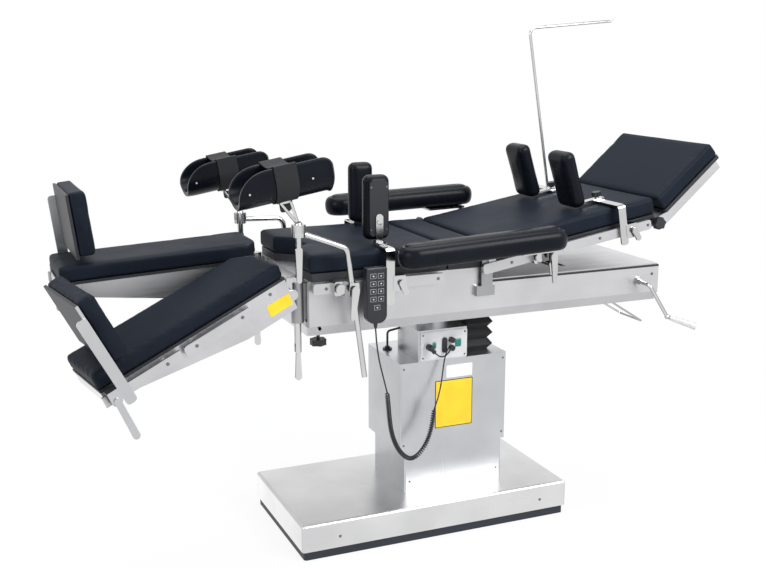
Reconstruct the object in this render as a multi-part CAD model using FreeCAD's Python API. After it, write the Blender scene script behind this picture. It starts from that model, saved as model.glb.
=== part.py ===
import FreeCAD, Part
import math
import os

os.makedirs("parts", exist_ok=True)

V = FreeCAD.Vector
X, Y, Z = V(1, 0, 0), V(0, 1, 0), V(0, 0, 1)

# The table stands on the floor at z = 0, its base centred on the origin.
# +X runs to the head end, -Y is the side with the handset, +Z is up. All sizes in mm.

# Clearances
RUN = 0.05          # radial play of a shaft in its bore
SLIDE = 0.3         # gap between faces that slide past each other
SOFT_GAP = 0.3      # gap between a cushion and what it lies against
WALL = 3.0          # folded sheet covers

# Base
BASE_L, BASE_W = 894, 466
PLINTH_H = 28
PLINTH_INSET = 7
BASE_TOP = 111
BASE_EDGE_R = 9

# Column
COL_X0, COL_X1, COL_W = -73, 267, 240
COL_TOP = 435
SLEEVE_X0, SLEEVE_X1, SLEEVE_W = -92, 274, 260
SLEEVE_Z0, SLEEVE_Z1 = 248, 533
COVER_R = 6
RAM_X = 60
RAM_R = 42
LIFT_TUBE_R = 56
RAM_Z0 = 135

# Control box on the column head
BOX_X0, BOX_X1 = -32, 134
BOX_Y0, BOX_Y1 = -130, 30
BOX_TOP = 631
PANEL_T = 3
ROCKER_T, ROCKER_PIVOT, ROCKER_PIN_R, ROCKER_GAP = 8, 4, 1.5, 0.4

# Universal joint under the beam
PIVOT_X, PIVOT_Z = 50, 656
EAR_T, EAR_IN, EAR_R = 10, 16, 10
PIN_R = 6

# Bellows over the tilt drive
BEL_X0, BEL_X1, BEL_Y = 142, 252, 88
BEL_FOLDS = 4
BEL_DEPTH = 13

# Beam
BEAM_X0, BEAM_X1, BEAM_W = -416, 765, 460
BEAM_Z0, BEAM_Z1, BEAM_LOW = 677, 837, 798
STEP_X = 134
BEVEL_H, BEVEL_W = 30, 18
SEAL_T = 10
DECK_T = 4

# Seat cushion and rails
PAD_W = 480
PAD_T = 52
BOARD_W = 470
SEAT_X0, SEAT_X1 = -415, 10
BOARD_Z0, BOARD_Z1 = 837, 860
PAD_R = 9
RECESS_D, RECESS_W0, RECESS_W1 = 50, 200, 110
RAIL_H, RAIL_T = 30, 10
RAIL_OUT = 258
RAIL_Z = 820
SEAT_RAIL_X0, SEAT_RAIL_X1 = -412, -8
RAIL_POST_R = 9
SEAT_RAIL_POSTS = -374, -30

# Kidney bridge between seat and back
KIDNEY_X0, KIDNEY_X1 = 13, 136
KIDNEY_POST_R = 12
KIDNEY_POST_Y = 150

# Crank
CRANK_X, CRANK_Z = 690, 744
CRANK_R = 6
CRANK_ARM, CRANK_ANGLE = 132, 34
CRANK_OUT = 58        # distance of the crank arm from the beam's side
GRIP_L, GRIP_R = 92, 12
BEARING_R = 16

# Lock knob under the beam
KNOB_TOP = V(-369, -170, BEAM_Z0 + 12)
KNOB_STEM_R = 5

# Wire bail under the head end of the beam
BAIL_X, BAIL_Y, BAIL_DROP, BAIL_R = 655, 82, 8, 3.5
BAIL_TIP_X, BAIL_TIP_Y, BAIL_TIP_Z = 835, 62, 560

# Back section, raised at rest
BACK_HX, BACK_HZ = 143, 903
BACK_UP = 9.5
BACK_PAD_TOP = 10
BACK_X0, BACK_X1 = 1, 596
BACK_BOARD_T = 17
BACK_RAIL_Z = -65
BACK_RAIL_X0, BACK_RAIL_X1 = -36, 560
BACK_RAIL_POSTS = 59, 370, 548
CHEEK_IN, HINGE_T = 240.6, 5
BACK_PIN_R = 5
BACK_BAR_Y0, BACK_BAR_Y1 = 205, 225
BACK_BAR_H = 25

# Head section
HEAD_HX, HEAD_HZ = 591.6, -69.6
HEAD_UP = 31.2
HEAD_PAD_X0, HEAD_PAD_X1 = 46, 309
HEAD_PAD_Z0, HEAD_PAD_Z1 = 6, 55
HEAD_BOARD_T = 12
HEAD_BOX_X0, HEAD_BOX_X1 = 24, 297
HEAD_BOX_H = 38
HEAD_BOX_W = 440
HEAD_EYE_R, HEAD_ARM_R, HEAD_PIN_R = 13, 10, 7
KNOB_STUD_R = 4
KNOB_BOSS_R, KNOB_BOSS_L = 8.5, 4.4

# Leg sections
LEG_EYE_R = 15
LEG_CUT_S, LEG_CUT_Y = 42, 72
LEG_RAIL_OUT = 258
FOOT_PIN_R, FOOT_PIN_L = 6, 29.5
SPINDLE_DROP = 87
LEG_HX, LEG_HZ = -470, 806
LEG_L = 585
LEG_Y0, LEG_Y1 = 5, 238
LEG_PAD_TOP = 105
LEG_PAD_T = 43
LEG_BOARD_T = 8
LEG_SIDE_H, LEG_SIDE_END = 93, 33
LEG_TAPER_S0, LEG_TAPER_S1 = 170, LEG_L - 25
LEG_RELEASE_S = 403   # place of the release lever along the leg
LEG_RAIL_POSTS = 165, 310, 400, LEG_L - 45
LEG_PIN_R = 7
RELEASE_PIN_R = 3
SPINDLE_X, SPINDLE_Y = -440, 200
SPINDLE_R = 10
SOCKET_R = 18
SOCKET_Z0, SOCKET_Z1 = LEG_HZ - 88, LEG_HZ + 30
LEG_YAW = {"near": 9, "far": 0}
LEG_PITCH = {"near": 24, "far": 2.8}

# Foot boards
FOOT_S = LEG_L - 108
FOOT_H0 = 24
FOOT_H, FOOT_W, FOOT_T = 183, 285, 45
FOOT_BACK_T = 8
FOOT_FLANGE_W = 30
FOOT_TILT = 4
FOOT_PIVOT_S = LEG_L - 23

# Rail clamps and rods
ROD_R = 8
ROD_Y = 286
CLAMP_L, CLAMP_H = 62, 40
CLAMP_HEAD = 14
CLAMP_OUT = 302
JAW_T, JAW_NOSE, JAW_SCREW_R = 6, 14, 14
FLAT_CLAMP_L, FLAT_CLAMP_H, FLAT_CLAMP_OUT = 40, 44, 12
FLAT_WING_L = 36
WING_L, WING_LEAN, WING_T = 84, -0.12, 6
SCREW_R = 6

# Leg crutches
CRUTCH_LOW, CRUTCH_ELBOW = 562, 935
CRUTCH_LEAN = 7.6
BALL_R, BALL_SINK, FORK_R, FORK_SPREAD, TROUGH_OFF = 11, 1, 4.5, 16, -50
STEM_L = {"near": 67, "far": 79}
CRUTCH_ROD_X = -307
COLLAR_X = -462
COLLAR_R, COLLAR_H = 19, 34
CRUTCH_Z = {"near": 1011, "far": 962}
TROUGH_L, TROUGH_R, TROUGH_T = 270, 64, 17
TROUGH_LIP = 40       # height of the shell's walls over its axis
TROUGH_CORNER = 30
TROUGH_RIM, TROUGH_RIM_L = 5, 12
TROUGH_PITCH = {"near": 10, "far": 10}

# Arm rests
ARM_L, ARM_W, ARM_T = 535, 98, 70
ARM_Y = 332
ARM_Z = {"near": 919, "far": 966}
ARM_X = {"near": 80, "far": 110}
ARM_TILT = {"near": 2.5, "far": 1.5}
ARM_TRAY_L = 120

# Shoulder and side supports
SHOULDER_W, SHOULDER_H, SHOULDER_T = 110, 180, 48
SIDE_W, SIDE_H, SIDE_T = 78, 188, 46
ARM_CLAMP_X = 174
SHOULDER_X, SHOULDER_BAR_TOP, SHOULDER_REACH, SHOULDER_LEAN = 452, 22, 150, 8
SHOULDER_FOOT_L = 62
SIDE_X = {"near": -185, "far": -105}
SIDE_BAR_TOP, SIDE_REACH = 922, 84
SIDE_FOOT_L = 40
SIDE_STEM_W, SIDE_STEM_H = 22, 82
SIDE_PLATE_W, SIDE_PLATE_T = 56, 4
PAD_LIFT = 8          # height of a support cushion over its foot plate
SUPPORT_R = 20        # edge radius of the support cushions
BAR_T = 5
FLAT_BAR_W = 26
BAR_OFF = 6           # gap between a rail's face and a flat bar
SIDE_BAR_TAIL, SHOULDER_BAR_TAIL = 62, 40     # lengths of the bars below a rail's middle

# Screen rod
SCREEN_X, SCREEN_R, SCREEN_H, SCREEN_ARM, SCREEN_DROP = 524, 5, 614, 324, 29
SCREEN_LOW = 70       # length of the rod below its clamp
SCREEN_TIP = V(17, 0, 14)

# Handset
HAND_W, HAND_H, HAND_T = 62, 160, 26
HAND_AT = (-238, -285, 796)
RELIEF_L = 16.6
CORD_R, COIL_R = 2.5, 8

SIDES = {"near": -1, "far": 1}


def save(name, *shapes):
    """Writes one sub-part; several solids become one group."""
    shape = shapes[0] if len(shapes) == 1 else Part.makeCompound(list(shapes))
    shape.exportStep("parts/%s.step" % name)
    return shape


def box(x0, x1, y0, y1, z0, z1):
    lo = V(min(x0, x1), min(y0, y1), min(z0, z1))
    return Part.makeBox(abs(x1 - x0), abs(y1 - y0), abs(z1 - z0), lo)


def rod(start, end, radius):
    way = end - start
    return Part.makeCylinder(radius, way.Length, start, way)


def edges_along(shape, direction):
    """Straight edges that run along a direction."""
    found = []
    for edge in shape.Edges:
        if not isinstance(edge.Curve, Part.Line):
            continue
        if edge.Curve.Direction.cross(direction).Length < 1e-6:
            found.append(edge)
    return found


def rounded(shape, direction, radius):
    return shape.makeFillet(radius, edges_along(shape, direction))


def plate(points, normal, thickness):
    """Flat plate from a corner list, thickened along a direction."""
    face = Part.Face(Part.makePolygon(points + [points[0]]))
    return face.extrude(normal * thickness)


def fuse(first, *rest):
    return first.fuse(list(rest)).removeSplitter()


def soft_box(x0, x1, y0, y1, z0, z1, radius):
    """Cushion block with rounded edges all round."""
    block = box(x0, x1, y0, y1, z0, z1)
    return block.makeFillet(radius, block.Edges)


def turned(shape, centre, axis, angle):
    copy = shape.copy()
    copy.rotate(centre, axis, angle)
    return copy


def mirrored(shape, side):
    """The far side's shape, or its mirror image for the near side."""
    return shape if side == "far" else shape.mirror(V(0, 0, 0), Y)


def bent_rod(points, radius, bend):
    """Round bar along straight runs joined by tangent arcs of one radius."""
    edges = []
    start = points[0]
    for before, corner, after in zip(points, points[1:], points[2:]):
        into = (corner - before).normalize()
        out = (after - corner).normalize()
        half = into.getAngle(out) / 2
        reach = bend * math.tan(half)
        a = corner - into * reach
        b = corner + out * reach
        middle = (out - into).normalize()
        crown = corner + middle * (bend / math.cos(half) - bend)
        edges.append(Part.LineSegment(start, a).toShape())
        edges.append(Part.Arc(a, crown, b).toShape())
        start = b
    edges.append(Part.LineSegment(start, points[-1]).toShape())
    path = Part.Wire(edges)
    way = (points[1] - points[0]).normalize()
    section = Part.Wire(Part.makeCircle(radius, points[0], way))
    return path.makePipeShell([section], True, False)


# Frames of the moving sections
def back_place(shape):
    copy = shape.copy()
    copy.rotate(V(0, 0, 0), Y, -BACK_UP)
    copy.translate(V(BACK_HX, 0, BACK_HZ))
    return copy


def head_place(shape):
    copy = shape.copy()
    copy.rotate(V(0, 0, 0), Y, -HEAD_UP)
    copy.translate(V(HEAD_HX, 0, HEAD_HZ))
    return back_place(copy)


def swing_place(shape, side):
    sign = SIDES[side]
    return turned(shape, V(SPINDLE_X, sign * SPINDLE_Y, 0), Z, -sign * LEG_YAW[side])


def leg_place(shape, side):
    """A leg piece drawn level for the far side, put at its rest pose."""
    copy = turned(mirrored(shape, side), V(LEG_HX, 0, LEG_HZ), Y, -LEG_PITCH[side])
    return swing_place(copy, side)


# Base
def make_base():
    half_l, half_w = BASE_L / 2, BASE_W / 2
    plinth = box(-half_l + PLINTH_INSET, half_l - PLINTH_INSET,
                 -half_w + PLINTH_INSET, half_w - PLINTH_INSET, 0, PLINTH_H)
    plinth = rounded(plinth, Z, BASE_EDGE_R)
    save("base_plinth", plinth)

    outer = box(-half_l, half_l, -half_w, half_w, PLINTH_H, BASE_TOP)
    top_edges = [e for e in outer.Edges if e.BoundBox.ZMin > BASE_TOP - 1]
    outer = outer.makeFillet(BASE_EDGE_R, top_edges + edges_along(outer, Z))
    inner = box(-half_l + WALL, half_l - WALL, -half_w + WALL, half_w - WALL,
                PLINTH_H - 1, BASE_TOP - WALL)
    inner = rounded(inner, Z, BASE_EDGE_R - WALL)
    opening = box(COL_X0, COL_X1, -COL_W / 2, COL_W / 2, BASE_TOP - WALL - 1, BASE_TOP + 1)
    save("base_cover", outer.cut(inner).cut(rounded(opening, Z, COVER_R)))


def square_tube(x0, x1, width, z0, z1, wall, radius):
    outer = rounded(box(x0, x1, -width / 2, width / 2, z0, z1), Z, radius)
    inner = box(x0 + wall, x1 - wall, -width / 2 + wall, width / 2 - wall, z0 - 1, z1 + 1)
    return outer.cut(rounded(inner, Z, radius - wall / 2))


def make_column():
    save("column_cover_lower", square_tube(COL_X0, COL_X1, COL_W, PLINTH_H, COL_TOP, WALL, COVER_R))
    tube = rod(V(RAM_X, 0, PLINTH_H), V(RAM_X, 0, COL_TOP - 20), LIFT_TUBE_R)
    tube = fuse(tube, rod(V(RAM_X, 0, PLINTH_H), V(RAM_X, 0, PLINTH_H + 15), LIFT_TUBE_R + 30))
    bore = rod(V(RAM_X, 0, PLINTH_H + 6), V(RAM_X, 0, COL_TOP), RAM_R + RUN)
    save("lift_tube", tube.cut(bore))

    sleeve = square_tube(SLEEVE_X0, SLEEVE_X1, SLEEVE_W, SLEEVE_Z0, SLEEVE_Z1, WALL, COVER_R)
    lid = box(SLEEVE_X0 + WALL, SLEEVE_X1 - WALL, -SLEEVE_W / 2 + WALL, SLEEVE_W / 2 - WALL,
              SLEEVE_Z1 - WALL, SLEEVE_Z1)
    save("column_cover_upper", fuse(sleeve, lid))

    ram = rod(V(RAM_X, 0, RAM_Z0), V(RAM_X, 0, SLEEVE_Z1 - WALL), RAM_R)
    flange = rod(V(RAM_X, 0, SLEEVE_Z1 - WALL - 14), V(RAM_X, 0, SLEEVE_Z1 - WALL), RAM_R + 38)
    hollow = rod(V(RAM_X, 0, RAM_Z0 - 1), V(RAM_X, 0, SLEEVE_Z1 - 40), RAM_R - 10)
    save("lift_ram", fuse(ram, flange).cut(hollow))


# Column head with the control box
def ear(centre, along, across, foot_z):
    """Lug with a round end about a pin, standing on a face at foot_z."""
    half = EAR_R
    lo = centre - along * (EAR_T / 2)
    lug = rod(lo, lo + along * EAR_T, half)
    a = lo - across * half
    b = lo + across * half
    corners = [a, b, V(b.x, b.y, foot_z), V(a.x, a.y, foot_z)]
    return fuse(lug, plate(corners, along, EAR_T))


def make_control_box():
    block = box(BOX_X0, BOX_X1, BOX_Y0, BOX_Y1, SLEEVE_Z1, BOX_TOP)
    block = rounded(block, Z, 5)
    pocket = box(BOX_X0 + 8, BOX_X1 - 8, BOX_Y0 + 6, BOX_Y1 - 60, SLEEVE_Z1 + 8, BOX_TOP - 8)
    block = block.cut(pocket)
    centre = V(PIVOT_X, 0, PIVOT_Z)
    reach = EAR_IN + EAR_T / 2
    lugs = [ear(centre + X * s * reach, X, Y, BOX_TOP - 1) for s in (-1, 1)]
    holes = rod(centre - X * 40, centre + X * 40, PIN_R + RUN)
    window = box(BOX_X0 + 34, BOX_X1 - 22, BOX_Y0 - 1, BOX_Y0 + 7, SLEEVE_Z1 + 22, BOX_TOP - 20)
    save("control_box", fuse(block, *lugs).cut(holes).cut(window))


def make_box_lead():
    """Grommet on the column's top with the lead that goes up into the box."""
    foot = V(-60, 44, SLEEVE_Z1)
    lead = bent_rod([foot, V(-60, 44, 592), V(BOX_X0 + 8, 4, 612)], 3.5, 14)
    lead = lead.cut(box(BOX_X0, BOX_X1, BOX_Y0, BOX_Y1, SLEEVE_Z1, BOX_TOP))
    return fuse(rod(foot, foot + Z * 4, 15), rod(foot, foot + Z * 10, 8), lead)


ROCKERS = {"left": (20, 582, 11, 22), "right": (101, 583, 20, 26)}
FUSES = [(77, 595), (77, 570)]
PLUG_AT = (-2, 581)


def make_panel():
    front = BOX_Y0 - PANEL_T
    panel = box(BOX_X0 + 6, BOX_X1 - 2, front, BOX_Y0, SLEEVE_Z1 + 3, BOX_TOP - 6)
    panel = rounded(panel, Y, 4)
    pieces = [panel]
    for x, z in FUSES:
        cap = rod(V(x, front, z), V(x, front - 13, z), 9)
        pieces.append(cap)
    inlet = box(46, 62, front - 4, front, 556, 604)
    pieces.append(rounded(inlet, Y, 7))
    px, pz = PLUG_AT
    pieces.append(rod(V(px, front, pz), V(px, front - 6, pz), 13))
    body = fuse(*pieces)
    for x, z, w, h in ROCKERS.values():
        half_w, half_h = w / 2 + ROCKER_GAP, h / 2 + ROCKER_GAP
        body = body.cut(box(x - half_w, x + half_w, front - 1, BOX_Y0 + 1, z - half_h, z + half_h))
    save("control_panel", body, make_plug(), make_box_lead())
    for name, (x, z, w, h) in ROCKERS.items():
        a, b = V(x - w / 2, front + 1, z - h / 2), V(x - w / 2, front + 1, z + h / 2)
        crown = V(x - w / 2, front - 2, z)
        back = V(x - w / 2, front + ROCKER_T, z)
        outline = Part.Wire([Part.Arc(b, crown, a).toShape(), Part.LineSegment(a, back).toShape(),
                             Part.LineSegment(back, b).toShape()])
        pivot = V(x, front + ROCKER_PIVOT, z)
        reach = X * (w / 2 + ROCKER_GAP - 0.1)
        key = Part.Face(outline).extrude(X * w)
        save("rocker_" + name, fuse(key, rod(pivot - reach, pivot + reach, ROCKER_PIN_R)))


def make_plug():
    front = BOX_Y0 - PANEL_T
    px, pz = PLUG_AT
    top = V(px, front - 6, pz)
    elbow = V(px, front - 24, pz)
    return fuse(rod(top, elbow, 10), Part.makeSphere(10, elbow),
                rod(elbow, elbow + V(12, 0, -15), 6.5))


# Bellows
def ring_wire(x0, x1, y, z, radius):
    shape = rounded(box(x0, x1, -y, y, z, z + 1), Z, radius)
    face = [f for f in shape.Faces if f.BoundBox.ZMax < z + 0.01][0]
    return face.OuterWire


def make_bellows():
    z0, z1 = SLEEVE_Z1, BEAM_Z0 - SLIDE
    count = 2 * BEL_FOLDS
    wires = []
    for i in range(count + 1):
        inset = BEL_DEPTH * (i % 2 == 0)
        z = z0 + (z1 - z0) * i / count
        wires.append(ring_wire(BEL_X0 + inset, BEL_X1 - inset, BEL_Y - inset, z, 16))
    skin = Part.makeLoft(wires, True, True)
    inset = BEL_DEPTH + 4
    hollow = rounded(box(BEL_X0 + inset, BEL_X1 - inset, -BEL_Y + inset, BEL_Y - inset,
                         z0 - 1, z1 + 1), Z, 12)
    save("tilt_bellows", skin.cut(hollow))


# Universal joint
def make_tilt_cross():
    centre = V(PIVOT_X, 0, PIVOT_Z)
    half = EAR_IN - SLIDE
    block = box(PIVOT_X - half, PIVOT_X + half, -half, half, PIVOT_Z - 9, PIVOT_Z + 9)
    reach = EAR_IN + EAR_T + 3
    save("tilt_cross", fuse(block, rod(centre - X * reach, centre + X * reach, PIN_R),
                            rod(centre - Y * reach, centre + Y * reach, PIN_R)))


# Beam
def beam_profile(width, z0, z1, bevel_h, bevel_w, x):
    half = width / 2
    return [V(x, -half, z1), V(x, -half, z0 + bevel_h), V(x, -half + bevel_w, z0),
            V(x, half - bevel_w, z0), V(x, half, z0 + bevel_h), V(x, half, z1)]


def make_beam():
    outer = plate(beam_profile(BEAM_W, BEAM_Z0, BEAM_Z1, BEVEL_H, BEVEL_W, BEAM_X0), X,
                  BEAM_X1 - BEAM_X0)
    outer = outer.cut(box(STEP_X, BEAM_X1 + 1, -BEAM_W, BEAM_W, BEAM_LOW - SEAL_T, BEAM_Z1 + 1))
    inner = plate(beam_profile(BEAM_W - 2 * WALL, BEAM_Z0 + WALL, BEAM_Z1 - WALL, BEVEL_H, BEVEL_W,
                               BEAM_X0 + WALL), X, BEAM_X1 - BEAM_X0 - 2 * WALL)
    inner = inner.cut(box(STEP_X - WALL, BEAM_X1 + 1, -BEAM_W, BEAM_W,
                          BEAM_LOW - SEAL_T - WALL, BEAM_Z1 + 1))
    hatch = box(300, 420, -60, 60, BEAM_Z0 - 1, BEAM_Z0 + WALL + 1)
    shell = outer.cut(inner).cut(hatch)
    shell = shell.cut(rod(crank_axis(-WALL - 1), crank_axis(1), BEARING_R))
    shell = shell.cut(rod(KNOB_TOP - Z * 20, KNOB_TOP + Z, KNOB_STEM_R + RUN))
    for sign in (-1, 1):
        for x in (KIDNEY_X0 + 30, KIDNEY_X1 - 30):
            shell = shell.cut(rod(V(x, sign * KIDNEY_POST_Y, BEAM_Z1 - 20),
                                  V(x, sign * KIDNEY_POST_Y, BEAM_Z1 + 1), KIDNEY_POST_R + RUN))
    x0 = STEP_X
    seal = box(x0, BEAM_X1, -BEAM_W / 2, BEAM_W / 2, BEAM_LOW - SEAL_T, BEAM_LOW - DECK_T)
    save("beam_seal", seal)
    deck = box(x0, BEAM_X1 - 2, -BEAM_W / 2 + 4, BEAM_W / 2 - 4, BEAM_LOW - DECK_T, BEAM_LOW)
    slots = [box(x, x + 16, -150, 60, BEAM_LOW - DECK_T - 1, BEAM_LOW + 1) for x in (420, 452)]
    for slot in slots:
        deck = deck.cut(slot)
    save("beam_housing", shell, deck)


# Seat
def recess_tool(z0, z1, x_end, grow):
    a, b = RECESS_W0 / 2 + grow, RECESS_W1 / 2 + grow
    pts = [V(x_end - 1, -a, z0), V(x_end - 1, a, z0), V(x_end + RECESS_D, b, z0),
           V(x_end + RECESS_D, -b, z0)]
    return plate(pts, Z, z1 - z0)


def make_seat():
    inset = (PAD_W - BOARD_W) / 2
    board = box(SEAT_X0 + inset, SEAT_X1, -BOARD_W / 2, BOARD_W / 2, BOARD_Z0, BOARD_Z1)
    board = rounded(board, Z, 6)
    save("seat_board", board.cut(recess_tool(BOARD_Z0 - 1, BOARD_Z1 + 1, SEAT_X0 + inset, 2)))
    pad = soft_box(SEAT_X0, SEAT_X1, -PAD_W / 2, PAD_W / 2, BOARD_Z1 + SOFT_GAP,
                   BOARD_Z1 + SOFT_GAP + PAD_T, PAD_R)
    save("seat_pad", pad.cut(recess_tool(BOARD_Z1, BOARD_Z1 + PAD_T + 2, SEAT_X0, 0)))


def side_rail(x0, x1, z, foot_y, posts):
    """Flat accessory rail with round ends on stand-off posts, far side."""
    bar = box(x0, x1, RAIL_OUT - RAIL_T, RAIL_OUT, z - RAIL_H / 2, z + RAIL_H / 2)
    bar = rounded(bar, Y, 8)
    return fuse(bar, *[rod(V(x, foot_y, z), V(x, RAIL_OUT - 1, z), RAIL_POST_R) for x in posts])


def make_seat_rails():
    rail = side_rail(SEAT_RAIL_X0, SEAT_RAIL_X1, RAIL_Z, BEAM_W / 2, SEAT_RAIL_POSTS)
    save("seat_rails", rail, mirrored(rail, "near"))


# Kidney bridge
def make_kidney_bridge():
    top = BOARD_Z1 + SOFT_GAP + PAD_T
    pad = soft_box(KIDNEY_X0, KIDNEY_X1, -PAD_W / 2, PAD_W / 2, BOARD_Z1, top, PAD_R)
    board = box(KIDNEY_X0, KIDNEY_X1 - 3, -BOARD_W / 2, BOARD_W / 2, BOARD_Z0 + SLIDE, BOARD_Z1)
    posts = [rod(V(x, s * KIDNEY_POST_Y, BEAM_LOW - 90), V(x, s * KIDNEY_POST_Y, BOARD_Z0 + 2),
                 KIDNEY_POST_R) for x in (KIDNEY_X0 + 30, KIDNEY_X1 - 30) for s in (-1, 1)]
    save("kidney_lift", fuse(board, *posts))
    save("kidney_pad", pad)


# Small fixed fittings on the beam
def crank_axis(offset):
    return V(CRANK_X, -BEAM_W / 2 - offset, CRANK_Z)


def make_tilt_lugs():
    """Lugs under the beam that take the cross's pins along Y."""
    centre = V(PIVOT_X, 0, PIVOT_Z)
    reach = EAR_IN + EAR_T / 2
    hole = rod(centre - Y * 40, centre + Y * 40, PIN_R + RUN)
    return [ear(centre + Y * s * reach, Y, X, BEAM_Z0).cut(hole) for s in (-1, 1)]


def make_beam_fittings():
    bearing = rod(crank_axis(-WALL), crank_axis(8), BEARING_R)
    bearing = bearing.cut(rod(crank_axis(-20), crank_axis(20), CRANK_R + RUN))
    save("beam_fittings", bearing, *make_tilt_lugs(), *make_bail_lugs())


def make_crank():
    start = crank_axis(8 + 0.5)
    a = math.radians(CRANK_ANGLE)
    out = crank_axis(CRANK_OUT)
    way = V(math.sin(a), 0, -math.cos(a))
    end = out + way * CRANK_ARM
    arm = bent_rod([crank_axis(-14), out, end], CRANK_R, 14)
    hub = rod(start, crank_axis(20), CRANK_R + 4)
    grip_way = V(0.85, -0.35, -0.32).normalize()
    pin = rod(end - grip_way * 2, end + grip_way * (GRIP_L + 6), 4)
    eye = Part.makeSphere(8, end)
    save("crank_arm", fuse(arm, hub, pin, eye))
    a0 = end + grip_way * 9
    a1 = end + grip_way * (GRIP_L + 5)
    grip = Part.makeCone(8, GRIP_R, GRIP_L - 4, a0, grip_way)
    grip = fuse(grip, rod(a1 - grip_way * 2, a1, GRIP_R))
    save("crank_grip", grip.cut(rod(end, a1 + grip_way * 5, 4 + RUN)))


def star_knob(top, axis, radius, height, stem_r, stem_l, lobes):
    """Lobed clamping knob; its stem starts at top and runs along axis."""
    axis = V(axis).normalize()
    head_at = top + axis * stem_l
    head = rod(head_at, head_at + axis * height, radius * 0.86)
    side = axis.cross(X if abs(axis.x) < 0.9 else Y).normalize()
    for i in range(lobes):
        turn = FreeCAD.Rotation(axis, 360.0 * i / lobes)
        spot = head_at + turn.multVec(side) * radius * 0.72
        head = head.fuse(rod(spot, spot + axis * height, radius * 0.28))
    return fuse(head, rod(top, head_at + axis * 1, stem_r))


def make_lock_knob():
    save("beam_lock_knob", star_knob(KNOB_TOP, -Z, 24, 18, KNOB_STEM_R, 34, 6))


def make_bail_lugs():
    z = BEAM_Z0 - BAIL_DROP
    hole = rod(V(BAIL_X, -120, z), V(BAIL_X, 120, z), BAIL_R + RUN)
    return [box(BAIL_X - 11, BAIL_X + 11, s * (BAIL_Y + 11), s * (BAIL_Y + 20), z - 6,
                BEAM_Z0).cut(hole) for s in (-1, 1)]


def make_wire_bail():
    z = BEAM_Z0 - BAIL_DROP
    half = [V(BAIL_X, BAIL_Y + 23, z), V(BAIL_X, BAIL_Y, z), V(BAIL_TIP_X, BAIL_TIP_Y, BAIL_TIP_Z)]
    wire = bent_rod(half + [V(p.x, -p.y, p.z) for p in reversed(half)], BAIL_R, 9)
    save("wire_bail", wire)


# Back section
def make_back():
    top = BACK_PAD_TOP
    pad = soft_box(BACK_X0, BACK_X1, -PAD_W / 2, PAD_W / 2, top - PAD_T, top, PAD_R)
    save("back_pad", back_place(pad))

    z1 = top - PAD_T - SOFT_GAP
    z0 = z1 - BACK_BOARD_T
    board = rounded(box(BACK_X0 + 6, BACK_X1 - 4, -BOARD_W / 2, BOARD_W / 2, z0, z1), Z, 6)
    bar = box(BACK_X0 + 8, HEAD_HX, BACK_BAR_Y0, BACK_BAR_Y1, z0 - BACK_BAR_H, z0)
    eye = rod(V(HEAD_HX, BACK_BAR_Y0, HEAD_HZ), V(HEAD_HX, BACK_BAR_Y1, HEAD_HZ), HEAD_EYE_R)
    bore = rod(V(HEAD_HX, 0, HEAD_HZ), V(HEAD_HX, PAD_W, HEAD_HZ), HEAD_PIN_R + RUN)
    bar = fuse(bar, eye).cut(bore)
    rail = side_rail(BACK_RAIL_X0, BACK_RAIL_X1, BACK_RAIL_Z, BACK_BAR_Y1, BACK_RAIL_POSTS)
    y0 = CHEEK_IN + HINGE_T + SLIDE
    arm = fuse(box(-12, 12, y0, y0 + HINGE_T, BACK_RAIL_Z - 10, 0),
               rod(V(0, y0, 0), V(0, y0 + HINGE_T, 0), 12))
    arm = arm.cut(rod(V(0, 200, 0), V(0, 300, 0), BACK_PIN_R + RUN))
    solids = [board]
    for solid in (bar.cut(board), fuse(rail, arm).cut(board)):
        solids += [solid, mirrored(solid, "near")]
    save("back_frame", *[back_place(solid) for solid in solids])


def back_hinges():
    """Side plates on the beam with the pins that the back section turns on."""
    inner, outer = CHEEK_IN, CHEEK_IN + HINGE_T
    cheek = box(BACK_HX - 24, BACK_HX + 12, inner, outer, 770, BACK_HZ)
    cheek = fuse(cheek, rod(V(BACK_HX, inner, BACK_HZ), V(BACK_HX, outer, BACK_HZ), 12))
    foot = box(BACK_HX - 40, BACK_HX + 20, BEAM_W / 2, outer, 752, 782)
    pin = rod(V(BACK_HX, inner, BACK_HZ), V(BACK_HX, outer + SLIDE + HINGE_T + 1, BACK_HZ), BACK_PIN_R)
    hinge = fuse(cheek, foot, pin)
    return [hinge, mirrored(hinge, "near")]


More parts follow.
